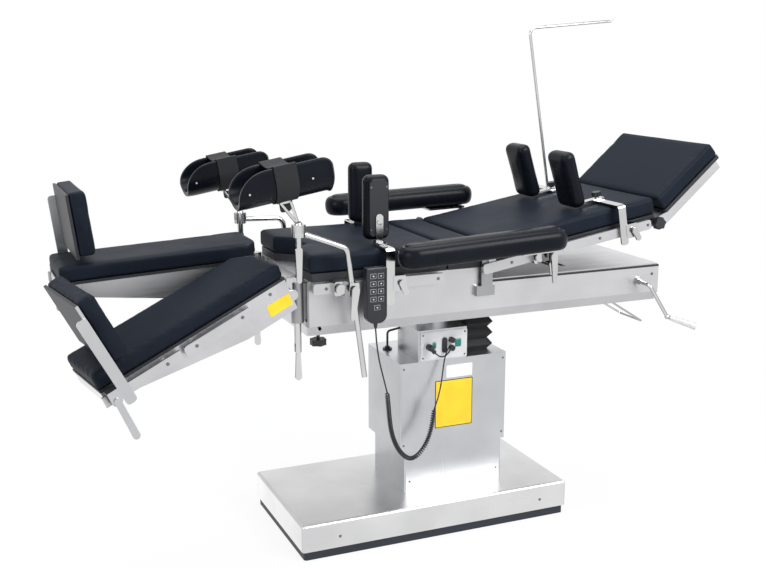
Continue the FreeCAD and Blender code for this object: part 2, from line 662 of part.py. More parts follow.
# Head section
def make_head():
    half = PAD_W / 2
    pad = soft_box(HEAD_PAD_X0, HEAD_PAD_X1, -half, half, HEAD_PAD_Z0, HEAD_PAD_Z1, PAD_R - 1)
    save("head_pad", head_place(pad))
    z1 = HEAD_PAD_Z0 - SOFT_GAP
    board = box(HEAD_PAD_X0 + 3, HEAD_PAD_X1 - 3, -half + 4, half - 4, z1 - HEAD_BOARD_T, z1)
    board = rounded(board, Z, 6)
    z0 = z1 - HEAD_BOARD_T
    width = HEAD_BOX_W / 2
    outer = box(HEAD_BOX_X0, HEAD_BOX_X1, -width, width, z0 - HEAD_BOX_H, z0)
    inner = box(HEAD_BOX_X0 + WALL, HEAD_BOX_X1 - WALL, -width + WALL, width - WALL,
                z0 - HEAD_BOX_H - 1, z0 - WALL)
    shell = rounded(outer, Y, 4).cut(inner)
    y0 = BACK_BAR_Y1 + SLIDE
    arm = box(0, 90, y0, y0 + 6, z0 - 22, z0)
    arm = fuse(arm, box(30, 90, width - 1, y0 + 6, z0 - 22, z0),
               rod(V(0, y0, 0), V(0, y0 + 6, 0), HEAD_ARM_R),
               plate([V(0, y0, HEAD_ARM_R), V(-HEAD_ARM_R, y0, 0), V(0, y0, -HEAD_EYE_R - 4),
                      V(50, y0, z0 - 20), V(50, y0, z0)], Y, 6),
               rod(V(0, BACK_BAR_Y0 - 4, 0), V(0, y0 + 6, 0), HEAD_PIN_R))
    boss_y = -y0 - 6 - KNOB_BOSS_L
    stud = fuse(rod(V(0, -y0, 0), V(0, boss_y, 0), KNOB_BOSS_R),
                rod(V(0, -y0, 0), V(0, boss_y - 24, 0), KNOB_STUD_R))
    shell = fuse(shell, arm, mirrored(arm, "near"), stud)
    save("head_frame", head_place(shell), head_place(board))
    knob = star_knob(V(0, boss_y - SLIDE, 0), -Y, 20, 24, 9, 5, 6)
    knob = knob.cut(rod(V(0, -y0, 0), V(0, boss_y - 25, 0), KNOB_STUD_R + RUN))
    save("head_lock_knob", head_place(knob))


# Leg sections, drawn level on the far side
def leg_outline(inset, z):
    x0, x1 = LEG_HX - inset, LEG_HX - LEG_L + inset
    y0, y1 = LEG_Y0 + inset, LEG_Y1 - inset
    return [V(x0, y1, z), V(x1, y1, z), V(x1, y0, z), V(x0 - LEG_CUT_S, y0, z),
            V(x0, y0 + LEG_CUT_Y, z)]


def make_leg(side):
    top = LEG_HZ + LEG_PAD_TOP
    pad = plate(leg_outline(0, top - LEG_PAD_T), Z, LEG_PAD_T)
    pad = pad.makeFillet(7, pad.Edges)
    save("leg_pad_" + side, leg_place(pad, side))

    z1 = top - LEG_PAD_T - SOFT_GAP
    board = plate(leg_outline(3, z1 - LEG_BOARD_T), Z, LEG_BOARD_T)

    z0 = z1 - LEG_BOARD_T
    x0 = LEG_HX - LEG_L + 4
    web = plate(leg_outline(4, z0 - WALL), Z, WALL)
    cheeks = []
    for y, start in ((LEG_Y1 - 3 - WALL, 4), (LEG_Y0 + 4, LEG_CUT_S + 6)):
        pts = [V(LEG_HX - start, y, z0), V(LEG_HX - start, y, z0 - LEG_SIDE_H),
               V(LEG_HX - LEG_TAPER_S0, y, z0 - LEG_SIDE_H),
               V(LEG_HX - LEG_TAPER_S1, y, z0 - LEG_SIDE_END), V(x0, y, z0 - LEG_SIDE_END),
               V(x0, y, z0)]
        if start > 4:
            pts[0:2] = [V(LEG_HX + 12, y, z0), V(LEG_HX + 12, y, z0 - LEG_SIDE_H)]
            pts[0].x = pts[1].x = LEG_HX - LEG_CUT_S - 6
        cheeks.append(plate(pts, Y, WALL))
    tail = box(x0, x0 + WALL, LEG_Y0 + 4, LEG_Y1 - 3, z0 - LEG_SIDE_END, z0)
    hinge = V(LEG_HX, 0, LEG_HZ)
    bore = rod(hinge, hinge + Y * 300, LEG_PIN_R + RUN)
    for y in (LEG_Y1 - 3 - WALL, LEG_Y0 + 4):
        cheeks.append(rod(hinge + Y * y, hinge + Y * (y + WALL), LEG_EYE_R))
        cheeks.append(box(LEG_HX - LEG_CUT_S - 12, LEG_HX, y, y + WALL,
                          LEG_HZ - LEG_EYE_R, LEG_HZ + LEG_EYE_R))
    centre = V(LEG_HX - LEG_RELEASE_S, 0, LEG_HZ + 20)
    lug = box(centre.x - 8, centre.x + 8, 108, 114, centre.z - 8, z0)
    lug = lug.cut(rod(centre + Y * 90, centre + Y * 130, RELEASE_PIN_R + RUN))
    rail_z = z0 - RAIL_H / 2 - 4
    rail = box(LEG_HX - 345, LEG_HX - 130, LEG_RAIL_OUT - RAIL_T, LEG_RAIL_OUT,
               rail_z - RAIL_H / 2, rail_z + RAIL_H / 2)
    rail = rounded(rail, Y, 8)
    arm = box(LEG_HX - LEG_L - 3, LEG_HX - 356, LEG_RAIL_OUT - 8, LEG_RAIL_OUT, rail_z - 15, rail_z + 15)
    posts = [rod(V(LEG_HX - s, LEG_Y1 - 5, rail_z), V(LEG_HX - s, LEG_RAIL_OUT - 2, rail_z), 9)
             for s in LEG_RAIL_POSTS]
    arm_pin = rod(V(LEG_HX - FOOT_PIVOT_S, LEG_RAIL_OUT - 4, rail_z),
                  V(LEG_HX - FOOT_PIVOT_S, LEG_RAIL_OUT + FOOT_PIN_L, rail_z), FOOT_PIN_R)
    frame = fuse(web, *cheeks, tail, lug, rail, arm, arm_pin, *posts)
    save("leg_frame_" + side, leg_place(frame.cut(bore), side), leg_place(board, side))

    eye = fuse(rod(centre + Y * 114.3, centre + Y * 121, 8),
               rod(centre + Y * 107, centre + Y * 118, RELEASE_PIN_R))
    bar = bent_rod([centre + V(0, 117.5, -6), centre + V(0, 117.5, -24), centre + V(-88, 117.5, -24)],
                   3, 8)
    handle = rod(centre + V(-84, 117.5, -24), centre + V(-134, 117.5, -24), 7)
    lever = fuse(eye, bar, handle)
    save("leg_release_" + side, leg_place(lever, side))


def make_table_brackets():
    """Sockets for the leg sections at one end, hinge cheeks for the back at the step."""
    sockets = back_hinges()
    for side, sign in SIDES.items():
        y = sign * SPINDLE_Y
        tube = rod(V(SPINDLE_X, y, SOCKET_Z0), V(SPINDLE_X, y, SOCKET_Z1), SOCKET_R)
        web = box(SPINDLE_X + 13, BEAM_X0, y - 9, y + 9, SOCKET_Z0 + 8, SOCKET_Z1 - 6)
        flange = box(BEAM_X0 - 4, BEAM_X0, y - 28, y + 28, SOCKET_Z0 - 12, SOCKET_Z1)
        body = fuse(tube, web, flange)
        sockets.append(body.cut(rod(V(SPINDLE_X, y, SOCKET_Z0 - 5), V(SPINDLE_X, y, SOCKET_Z1 + 5),
                                    SPINDLE_R + RUN)))
    save("table_brackets", *sockets)


def make_spindle(side):
    y = SPINDLE_Y
    low = SOCKET_Z0 - SPINDLE_DROP
    shaft = rod(V(SPINDLE_X, y, low), V(SPINDLE_X, y, SOCKET_Z1 + 2), SPINDLE_R)
    cap_z = SOCKET_Z1 + SLIDE
    cap = rod(V(SPINDLE_X, y, cap_z), V(SPINDLE_X, y, cap_z + 13), SOCKET_R)
    hx = LEG_HX
    neck = box(hx - 9, SPINDLE_X, y - 12, y + 12, cap_z, cap_z + 13)
    drop = box(hx - 9, SPINDLE_X - SOCKET_R - 3, y - 12, y + 12, LEG_HZ, cap_z + 13)
    barrel = rod(V(hx, LEG_Y0 + 8, LEG_HZ), V(hx, LEG_Y1 - 7, LEG_HZ), 10.5)
    pin = rod(V(hx, LEG_Y0 + 4, LEG_HZ), V(hx, LEG_Y1 - 3, LEG_HZ), LEG_PIN_R)
    body = fuse(shaft, cap, neck, drop, barrel, pin)
    slot = box(SPINDLE_X - 12, SPINDLE_X + 12, y - 3.3, y + 3.3, low - 1, low + 26)
    hole = rod(V(SPINDLE_X, y - 20, low + 12), V(SPINDLE_X, y + 20, low + 12), 3 + RUN)
    save("leg_spindle_" + side, swing_place(mirrored(body.cut(slot).cut(hole), side), side))

    pivot = V(SPINDLE_X, y - 3, low + 12)
    blade = blade_lever(pivot, V(0, 0, -1), X, 6, 95, 6, 10)
    blade = fuse(blade, rod(pivot - Y * 6, pivot + Y * 12, 3))
    save("leg_lever_" + side, swing_place(mirrored(blade, side), side))


def blade_lever(start, way, across, root, length, thick, wide):
    """Flat paddle lever, thickened along +Y, wider at its free end."""
    tip = start + way * (length - wide)
    pts = [start - across * root, start + across * root, tip + across * wide, tip - across * wide]
    return fuse(plate(pts, Y, thick), rod(start, start + Y * thick, root),
                rod(tip, tip + Y * thick, wide))


# Foot boards
def make_foot(side):
    """Board and cushion that stand up at the end of a leg section, with their side flange."""
    z0 = LEG_HZ + LEG_PAD_TOP + FOOT_H0
    x0 = LEG_HX - FOOT_S
    foot = V(x0, 0, z0)
    y1 = LEG_Y0 + FOOT_W
    pad = soft_box(x0 - FOOT_T, x0, LEG_Y0, y1 - 6, z0, z0 + FOOT_H, 7)
    pad = turned(pad, foot, Y, -FOOT_TILT)
    save("foot_pad_" + side, leg_place(pad, side))
    bx = x0 - FOOT_T - SOFT_GAP
    board = box(bx - FOOT_BACK_T, bx, LEG_Y0 + 3, y1 - 6, z0 - 4, z0 + FOOT_H - 5)
    flange = box(bx - FOOT_FLANGE_W, bx, y1 - 6, y1 - 2, LEG_HZ + 12, z0 + FOOT_H - 40)
    flange = rounded(flange, Y, 10)
    upright = turned(fuse(board, flange), foot, Y, -FOOT_TILT)
    rail_z = LEG_HZ + LEG_PAD_TOP - LEG_PAD_T - SOFT_GAP - LEG_BOARD_T - RAIL_H / 2 - 4
    hub = V(LEG_HX - FOOT_PIVOT_S, LEG_RAIL_OUT + SLIDE, rail_z)
    knuckle = fuse(rod(hub, V(hub.x, y1 - 2, hub.z), 15),
                   box(hub.x - 15, bx - FOOT_FLANGE_W / 3, hub.y, y1 - 2, hub.z, hub.z + 30))
    knuckle = knuckle.cut(rod(hub - Y * 10, hub + Y * 60, FOOT_PIN_R + RUN))
    blade = blade_lever(V(hub.x, y1 - 2, hub.z), V(0, 0, -1), X, 9, 118, 5, 10)
    save("foot_frame_" + side, leg_place(fuse(upright, knuckle, blade), side))


# Accessory clamps
def rail_clamp(x, z, bore, lean=0):
    """Jaw that grips a side rail, with a bore for a rod and a wing screw; far side."""
    x0, x1 = x - CLAMP_L + CLAMP_HEAD, x + CLAMP_HEAD
    block = box(x0, x1, RAIL_OUT - RAIL_T - JAW_T, CLAMP_OUT, z - CLAMP_H / 2, z + CLAMP_H / 2)
    block = rounded(block, Y, 6)
    nose_y = RAIL_OUT + JAW_NOSE
    nose = box(x0 - 1, x - CLAMP_HEAD, nose_y, CLAMP_OUT + 1, z - CLAMP_H, z + CLAMP_H)
    block = block.cut(nose).cut(rail_slot(x0, x1, z))
    if bore:
        hole = rod(V(x, ROD_Y, z - CLAMP_H), V(x, ROD_Y, z + CLAMP_H), bore)
        block = block.cut(turned(hole, V(x, 0, z), Y, -lean))
    jaw = V(x0 + JAW_SCREW_R + 1, nose_y, z)
    jaw = fuse(rod(jaw - Y * 4, jaw + Y * 12, SCREW_R), rod(jaw + Y * 5, jaw + Y * 13, JAW_SCREW_R))
    head = V(x, CLAMP_OUT, z)
    screw = rod(head - Y, head + Y * 9, SCREW_R)
    lean = V(WING_LEAN, 0, -1).normalize()
    wing = blade_lever(head + Y * 6, lean, X, 11, WING_L, WING_T, 7)
    return fuse(block, jaw, screw, wing)


def rail_slot(x0, x1, z):
    """Tool that clears a rail's section out of a clamp block; far side."""
    return box(x0 - 1, x1 + 1, RAIL_OUT - RAIL_T - JAW_T - 1, RAIL_OUT,
               z - RAIL_H / 2, z + RAIL_H / 2)


def flat_bar_clamp(x, z, hand):
    """Small clamp beside a flat bar, on its head side for hand 1; far side."""
    half = FLAT_BAR_W / 2
    near, far = x + hand * (half - 5), x + hand * (half - 5 + FLAT_CLAMP_L)
    block = box(near, far, RAIL_OUT - RAIL_T - JAW_T, RAIL_OUT + FLAT_CLAMP_OUT,
                z - FLAT_CLAMP_H / 2, z + FLAT_CLAMP_H / 2)
    block = rounded(block, Y, 5).cut(rail_slot(min(near, far), max(near, far), z))
    bridge = box(x - hand * half, near + hand * 4, RAIL_OUT + 1, RAIL_OUT + BAR_OFF + 0.5,
                 z - 12, z + 12)
    head = V(far - hand * 14, RAIL_OUT + FLAT_CLAMP_OUT, z)
    screw = rod(head - Y, head + Y * 8, SCREW_R)
    lean = V(0.4 * hand, 0, -1).normalize()
    wing = blade_lever(head + Y * 4, lean, X, 10, FLAT_WING_L, WING_T, 9)
    return fuse(block, bridge, screw, wing)


def over_pad_bar(x, z_low, z_top, reach):
    """Flat bar that rises from a clamp and bends inward over the cushion; far side."""
    y = RAIL_OUT + BAR_OFF
    x0, x1 = x - FLAT_BAR_W / 2, x + FLAT_BAR_W / 2
    end = rounded(box(x0, x1, y, y + BAR_T, z_low, z_low + 40), Y, 9)
    up = fuse(end, box(x0, x1, y, y + BAR_T, z_low + 20, z_top))
    over = box(x0, x1, y - reach, y + BAR_T, z_top - BAR_T, z_top)
    joined = fuse(up, over)
    bend = [e for e in edges_along(joined, X)
            if e.BoundBox.YMin > y + BAR_T - 0.1 and e.BoundBox.ZMin > z_top - 0.1]
    return joined.makeFillet(BAR_T + 6, bend) if bend else joined


def make_seat_clamps():
    """Clamps on the seat rails for the leg crutches and the side supports."""
    crutch = rail_clamp(CRUTCH_ROD_X, RAIL_Z, ROD_R + RUN, CRUTCH_LEAN)
    pieces = [crutch, mirrored(crutch, "near")]
    for side, x in SIDE_X.items():
        bar = over_pad_bar(x, RAIL_Z - SIDE_BAR_TAIL, SIDE_BAR_TOP, SIDE_REACH)
        pieces.append(mirrored(fuse(bar, flat_bar_clamp(x, RAIL_Z, 1)), side))
    save("seat_clamps", *pieces)


def make_side_support(side):
    """Side cushion on a slotted upright that stands on its clamp's bar."""
    sign = SIDES[side]
    x = SIDE_X[side]
    y_in = sign * (RAIL_OUT + BAR_OFF - SIDE_REACH)
    z0 = SIDE_BAR_TOP + SLIDE
    foot = box(x - FLAT_BAR_W / 2, x + FLAT_BAR_W / 2, y_in, y_in + sign * SIDE_FOOT_L,
               z0, z0 + BAR_T)
    stem_y = y_in + sign * 6
    stem = box(x - SIDE_STEM_W / 2, x + SIDE_STEM_W / 2, stem_y, stem_y + sign * BAR_T,
               z0, z0 + SIDE_STEM_H)
    stem = rounded(stem, Y, 6)
    slot_z = z0 + SIDE_STEM_H - 16
    stem = stem.cut(rod(V(x, stem_y - 10, slot_z), V(x, stem_y + 10, slot_z), 4))
    back = box(x - SIDE_PLATE_W / 2, x + SIDE_PLATE_W / 2, stem_y, stem_y - sign * SIDE_PLATE_T,
               z0 + 22, z0 + SIDE_H - 8)
    back = rounded(back, Y, 10)
    pad_y = stem_y - sign * SIDE_PLATE_T
    pad = soft_box(x - SIDE_W / 2, x + SIDE_W / 2, pad_y, pad_y - sign * SIDE_T,
                   z0 + PAD_LIFT, z0 + PAD_LIFT + SIDE_H, SUPPORT_R)
    save("side_support_" + side, fuse(foot, stem, back), pad)


# Leg crutches
def u_bar(radius, lip, x0, x1):
    """Bar of U section along X: a half round of a radius, with straight walls up to lip."""
    left, right = V(x0, -radius, 0), V(x0, radius, 0)
    up = Z * lip
    outline = Part.Wire([Part.LineSegment(left + up, left).toShape(),
                         Part.Arc(left, V(x0, 0, -radius), right).toShape(),
                         Part.LineSegment(right, right + up).toShape(),
                         Part.LineSegment(right + up, left + up).toShape()])
    return Part.Face(outline).extrude(X * (x1 - x0))


def make_trough():
    """Moulded leg shell about the origin, and the same form without its hollow."""
    half = TROUGH_L / 2
    solid = u_bar(TROUGH_R, TROUGH_LIP, -half, half)
    ends = [e for e in edges_along(solid, Y) if e.BoundBox.ZMin > TROUGH_LIP - 1]
    solid = solid.makeFillet(TROUGH_CORNER, ends)
    rim = u_bar(TROUGH_R + TROUGH_RIM, TROUGH_LIP - TROUGH_CORNER, half - TROUGH_RIM_L, half)
    solid = fuse(solid, rim)
    hollow = u_bar(TROUGH_R - TROUGH_T, TROUGH_LIP + 1, -half - 1, half + 1)
    return solid.cut(hollow), solid


def make_crutch(side):
    """Bent support rod with its collar, and the half-round leg shell."""
    y = ROD_Y
    z = CRUTCH_Z[side]
    slope = math.tan(math.radians(CRUTCH_LEAN))
    low, elbow = [V(CRUTCH_ROD_X - slope * (h - RAIL_Z), y, h) for h in (CRUTCH_LOW, CRUTCH_ELBOW)]
    pts = [low, elbow, V(COLLAR_X, y, z - 22)]
    bar = bent_rod(pts, ROD_R, 26)
    collar = rod(V(COLLAR_X, y, z - COLLAR_H), V(COLLAR_X, y, z), COLLAR_R)
    neck = rod(V(COLLAR_X, y, z - COLLAR_H - 30), V(COLLAR_X, y, z - COLLAR_H), 9)
    handle_top = V(COLLAR_X, y - 3, z - COLLAR_H - 38)
    handle = blade_lever(handle_top, V(0, 0, -1), X, 10, 90, 6, 7)
    ball = V(COLLAR_X, y, z - BALL_SINK)
    cup = Part.makeSphere(BALL_R + RUN, ball)
    body = fuse(bar, collar, neck, handle)
    save("crutch_rod_" + side, mirrored(body.cut(cup), side))

    centre = ball + V(TROUGH_OFF, 0, STEM_L[side] + TROUGH_R)
    shell, solid = make_trough()
    for piece in (shell, solid):
        piece.rotate(V(0, 0, 0), Y, -TROUGH_PITCH[side])
        piece.translate(centre)
    tilt = math.radians(TROUGH_PITCH[side])
    axis = V(math.cos(tilt), 0, math.sin(tilt))
    lift = V(-axis.z, 0, axis.x)
    seat = centre - lift * (TROUGH_R - 3)
    legs = [rod(ball, seat + axis * FORK_SPREAD * s, FORK_R) for s in (-1, 1)]
    saddle = rod(seat - lift * 8, seat + lift * 2, FORK_SPREAD + 6).cut(solid)
    stem = fuse(Part.makeSphere(BALL_R, ball), *legs).cut(solid)
    stem = fuse(stem, saddle)
    trough = mirrored(shell, side)
    save("crutch_trough_" + side, trough, mirrored(stem, side))


# Arm rests on the back rails
def make_back_clamps():
    pieces = []
    for side in SIDES:
        arm = rail_clamp(ARM_CLAMP_X, BACK_RAIL_Z, ROD_R + RUN)
        pieces.append(mirrored(arm, side))
        clamp = flat_bar_clamp(SHOULDER_X, BACK_RAIL_Z, -SIDES[side])
        bar = over_pad_bar(SHOULDER_X, BACK_RAIL_Z - SHOULDER_BAR_TAIL, SHOULDER_BAR_TOP,
                           SHOULDER_REACH)
        pieces.append(mirrored(fuse(bar, clamp), side))
    pieces.append(rail_clamp(SCREEN_X, BACK_RAIL_Z, SCREEN_R + RUN))
    save("back_clamps", *[back_place(piece) for piece in pieces])


def make_arm_rest(side):
    """Long padded arm board on a post that turns in its clamp."""
    sign = SIDES[side]
    zc, xc = ARM_Z[side], ARM_X[side]
    half_w = ARM_W / 2
    x0, x1 = -ARM_L / 2, ARM_L / 2
    ends = [Part.Arc(V(x1 - half_w, -half_w, 0), V(x1, 0, 0), V(x1 - half_w, half_w, 0)),
            Part.Arc(V(x0 + half_w, half_w, 0), V(x0, 0, 0), V(x0 + half_w, -half_w, 0))]
    outline = Part.Wire([Part.LineSegment(V(x0 + half_w, -half_w, 0), V(x1 - half_w, -half_w, 0)).toShape(),
                         ends[0].toShape(),
                         Part.LineSegment(V(x1 - half_w, half_w, 0), V(x0 + half_w, half_w, 0)).toShape(),
                         ends[1].toShape()])
    pad = Part.Face(outline).extrude(Z * ARM_T)
    rims = [e for e in pad.Edges if e.BoundBox.ZLength < 0.01]
    pad = pad.makeFillet(20, rims)
    pad.translate(V(0, 0, -ARM_T / 2))
    pad.rotate(V(0, 0, 0), Y, -ARM_TILT[side])
    pad.translate(V(xc, sign * ARM_Y, zc))

    post_at = back_place(Part.Vertex(V(ARM_CLAMP_X, sign * ROD_Y, BACK_RAIL_Z))).Point
    up = V(-math.sin(math.radians(BACK_UP)), 0, math.cos(math.radians(BACK_UP)))
    under = zc - ARM_T / 2 - math.sin(math.radians(ARM_TILT[side])) * (xc - post_at.x)
    bar_z = under - BAR_T / 2 - SOFT_GAP
    top = post_at + up * ((bar_z - post_at.z) / up.z)
    post = rod(post_at - up * 60, top, ROD_R)
    y0, y1 = top.y - sign * 9, sign * (ARM_Y + 14)
    tray = box(-ARM_TRAY_L, 16, y0, y1, -BAR_T / 2, BAR_T / 2)
    tray = rounded(tray, Z, 8)
    tray.rotate(V(0, 0, 0), Y, -ARM_TILT[side])
    tray.translate(V(top.x, 0, bar_z))
    rest = fuse(post, tray)
    save("arm_rest_" + side, rest.cut(pad), pad)


# Shoulder supports
def make_shoulder(side):
    sign = SIDES[side]
    x, z0 = SHOULDER_X, SHOULDER_BAR_TOP + SLIDE
    half = FLAT_BAR_W / 2
    y_mid = sign * (RAIL_OUT + BAR_OFF - SHOULDER_REACH + 20)
    foot = box(x - SHOULDER_FOOT_L, x + 20, y_mid - half, y_mid + half, z0, z0 + BAR_T)
    stem = box(0, BAR_T, y_mid - half, y_mid + half, 0, 108)
    back = box(-SIDE_PLATE_T, 0, y_mid - 30, y_mid + 30, 18, 140)
    pad = soft_box(-SIDE_PLATE_T - SHOULDER_T, -SIDE_PLATE_T, y_mid - SHOULDER_W / 2,
                   y_mid + SHOULDER_W / 2, PAD_LIFT / 2, PAD_LIFT / 2 + SHOULDER_H, SUPPORT_R)
    upright = fuse(stem, rounded(back, X, 10))
    for piece in (upright, pad):
        piece.rotate(V(0, 0, 0), Y, -SHOULDER_LEAN)
        piece.translate(V(x - SHOULDER_FOOT_L, 0, z0))
    knob = star_knob(V(x, y_mid, z0 + BAR_T), Z, 15, 14, 7, 6, 6)
    save("shoulder_support_" + side, back_place(fuse(foot, upright, knob)), back_place(pad))


# Screen frame rod on the far side
def make_screen():
    y = ROD_Y
    base = V(SCREEN_X, y, BACK_RAIL_Z)
    pts = [base - Z * SCREEN_LOW, base + Z * SCREEN_H,
           base + V(SCREEN_ARM, 0, SCREEN_H - SCREEN_DROP)]
    bar = bent_rod(pts, SCREEN_R, 22)
    tip = pts[-1]
    hook = fuse(Part.makeSphere(SCREEN_R, tip), rod(tip, tip + SCREEN_TIP, SCREEN_R))
    save("screen_rod", back_place(fuse(bar, hook)))


# Handset on its hook
def make_handset():
    x, y, z = HAND_AT
    shell = box(x - HAND_W / 2, x + HAND_W / 2, y - HAND_T / 2, y + HAND_T / 2,
                z - HAND_H / 2, z + HAND_H / 2)
    upright = [e for e in edges_along(shell, Y) if e.BoundBox.ZMax < z]
    shell = shell.makeFillet(24, upright)
    top = [e for e in edges_along(shell, Y) if e.BoundBox.ZMin > z]
    shell = shell.makeFillet(5, top)
    front = [e for e in shell.Edges if e.BoundBox.YMax < y - HAND_T / 2 + 0.1]
    shell = shell.makeFillet(4, front)
    relief = Part.makeCone(7, 4, RELIEF_L, V(x, y, z - HAND_H / 2 + 1), -Z)
    pocket = box(x - HAND_W / 2 + 6, x + HAND_W / 2 - 6, y - HAND_T / 2 - 1, y - HAND_T / 2 + 0.6,
                 z - HAND_H / 2 + 22, z + HAND_H / 2 - 8)
    keypad = fuse(shell, relief).cut(rounded(pocket, Y, 4))
    hook_y = y + HAND_T / 2
    back = box(x - 14, x + 14, hook_y, -RAIL_OUT, z + 8, z + HAND_H / 2 - 6)
    lip = box(x - 14, x + 14, -RAIL_OUT, -RAIL_OUT + RAIL_T, RAIL_Z + RAIL_H / 2,
              z + HAND_H / 2 - 6)
    save("handset", keypad, fuse(back, lip))


# Cords, as points chosen along the route the photograph shows
LEAD = [(-238, -285, 700), (-234, -282, 656), (-224, -276, 603), (-208, -268, 551), (-192, -260, 498)]
COIL = [(-192, -260, 498), (-186, -256, 457), (-180, -250, 414), (-172, -244, 371), (-157, -238, 328),
        (-132, -230, 288), (-99, -220, 262), (-69, -211, 267), (-42, -203, 290), (-22, -196, 325),
        (-11, -190, 362), (-3, -184, 397)]
TAIL = [(-3, -184, 397), (14, -176, 428), (27, -167, 462), (36, -160, 500), (46, -150, 538),
        (57, -143, 562), (66, -145, 577), (66, -158, 581), (57, -169, 572), (40, -174, 557),
        (20, -170, 553), (10, -157, 566)]


def cord_tube(name, points, radius):
    """Tube along runs joined by the largest tangent arcs the runs allow."""
    pts = [V(*p) for p in points]
    edges = []
    radii = []
    start = pts[0]
    for before, corner, after in zip(pts, pts[1:], pts[2:]):
        into, out = corner - before, after - corner
        half = into.getAngle(out) / 2
        reach = 0.45 * min(into.Length, out.Length)
        bend = reach / math.tan(half)
        radii.append(round(bend))
        a = corner - into.normalize() * reach
        b = corner + out.normalize() * reach
        crown = corner + (out - into).normalize() * (bend / math.cos(half) - bend)
        edges.append(Part.LineSegment(start, a).toShape())
        edges.append(Part.Arc(a, crown, b).toShape())
        start = b
    edges.append(Part.LineSegment(start, pts[-1]).toShape())
    path = Part.Wire(edges)
    section = Part.Wire(Part.makeCircle(radius, pts[0], pts[1] - pts[0]))
    tube = path.makePipeShell([section], True, False)
    expected = math.pi * radius ** 2 * path.Length
    print(name, "radii", radii, "length", round(path.Length), "volume ratio",
          round(tube.Volume / expected, 4))
    return tube


def main():
    make_base()
    make_column()
    make_control_box()
    make_panel()
    make_bellows()
    make_tilt_cross()
    make_beam()
    make_seat()
    make_seat_rails()
    make_kidney_bridge()
    make_beam_fittings()
    make_crank()
    make_lock_knob()
    make_wire_bail()
    make_back()
    make_head()
    make_table_brackets()
    make_seat_clamps()
    make_back_clamps()
    for side in SIDES:
        make_spindle(side)
        make_leg(side)
        make_foot(side)
        make_side_support(side)
        make_crutch(side)
        make_arm_rest(side)
        make_shoulder(side)
    make_screen()
    make_handset()
    tail = cord_tube("tail", TAIL, CORD_R).cut(make_plug())
    save("cord_ends", cord_tube("lead", LEAD, CORD_R), tail)
    save("cord_coil", cord_tube("coil", COIL, COIL_R))


main()
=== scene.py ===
"""Looks of an operating table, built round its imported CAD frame."""

import logging
import math
from collections.abc import Callable
from dataclasses import dataclass
from enum import Enum
from typing import ClassVar

import bmesh
import bpy
import numpy as np
from mathutils import Matrix, Vector


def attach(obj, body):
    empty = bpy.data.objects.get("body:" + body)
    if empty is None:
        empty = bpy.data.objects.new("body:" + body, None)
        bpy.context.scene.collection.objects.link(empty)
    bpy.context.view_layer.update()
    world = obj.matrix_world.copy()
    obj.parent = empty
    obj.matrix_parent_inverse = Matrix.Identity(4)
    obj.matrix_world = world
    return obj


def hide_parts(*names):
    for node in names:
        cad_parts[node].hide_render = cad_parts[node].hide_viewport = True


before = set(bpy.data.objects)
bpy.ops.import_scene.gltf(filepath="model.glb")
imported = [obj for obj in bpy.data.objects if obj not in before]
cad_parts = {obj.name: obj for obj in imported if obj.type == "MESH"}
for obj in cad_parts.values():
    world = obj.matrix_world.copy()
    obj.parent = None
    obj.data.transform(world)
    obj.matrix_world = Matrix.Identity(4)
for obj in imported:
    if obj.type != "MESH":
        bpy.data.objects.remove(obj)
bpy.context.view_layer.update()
LOG = logging.getLogger("operating_table")
SIDES = {"near": -1.0, "far": 1.0}
NEAR_WAY = Vector((0.0, -1.0, 0.0))
UP = Vector((0.0, 0.0, 1.0))
NOISE_SPAN = (0.3, 0.7)
SMOOTH_ALL = 180.0

Triple = tuple[float, float, float]
Spots = list[tuple[Vector, Vector]]
Socket = bpy.types.NodeSocket
Material = bpy.types.Material
Thing = bpy.types.Object
Loose = bmesh.types.BMesh
Inputs = dict[str | int, object]


class Brush(Enum):
    """Direction in which a steel sheet was brushed, as pattern scales along X, Y and Z."""

    ALONG_X = (3.0, 260.0, 260.0)
    ALONG_Y = (260.0, 3.0, 260.0)
    ALONG_Z = (260.0, 260.0, 3.0)
    NONE = (40.0, 40.0, 40.0)


class Sheen(Enum):
    """How a cushion cover takes the light: roughness, grain depth and gloss."""

    MATT = (0.5, 0.16, 0.07)
    MOULDED = (0.27, 0.05, 0.11)


class PaintedReflection(Enum):
    """Painted reflection on metal: brightness of its colour by how far it turns away, in stops from
    0 to 1.
    """

    SHEET = ((0.0, 0.74), (0.3, 0.74), (0.58, 0.57), (0.74, 1.0), (0.88, 1.0), (0.98, 0.55))
    POLISHED = ((0.0, 1.0), (0.2, 0.9), (0.48, 0.34), (0.66, 0.8), (0.84, 1.0), (0.97, 0.3))


# ---------------------------------------------------------------- finishes


class Nodes:
    """A node tree, with short calls to add and fill nodes."""

    def __init__(self, tree: bpy.types.NodeTree) -> None:
        """Takes the tree that the nodes go in."""
        self.tree = tree

    def fill(self, node: bpy.types.Node, inputs: Inputs) -> None:
        """Fills a node's inputs.

        Args:
            node: The node.
            inputs: Name or number of each input, with a socket to join or a value to set.
        """
        for key, value in inputs.items():
            if isinstance(value, Socket):
                self.tree.links.new(value, node.inputs[key])
            else:
                node.inputs[key].default_value = value

    def add(self, kind: str, inputs: Inputs | None = None, **values: object) -> bpy.types.Node:
        """Adds one node.

        Args:
            kind: Blender's name for the node type.
            inputs: What goes into its inputs, as in fill.
            **values: Properties of the node, set by name.

        Returns:
            The new node.
        """
        node = self.tree.nodes.new(kind)
        for key, value in values.items():
            setattr(node, key, value)
        self.fill(node, inputs or {})
        return node


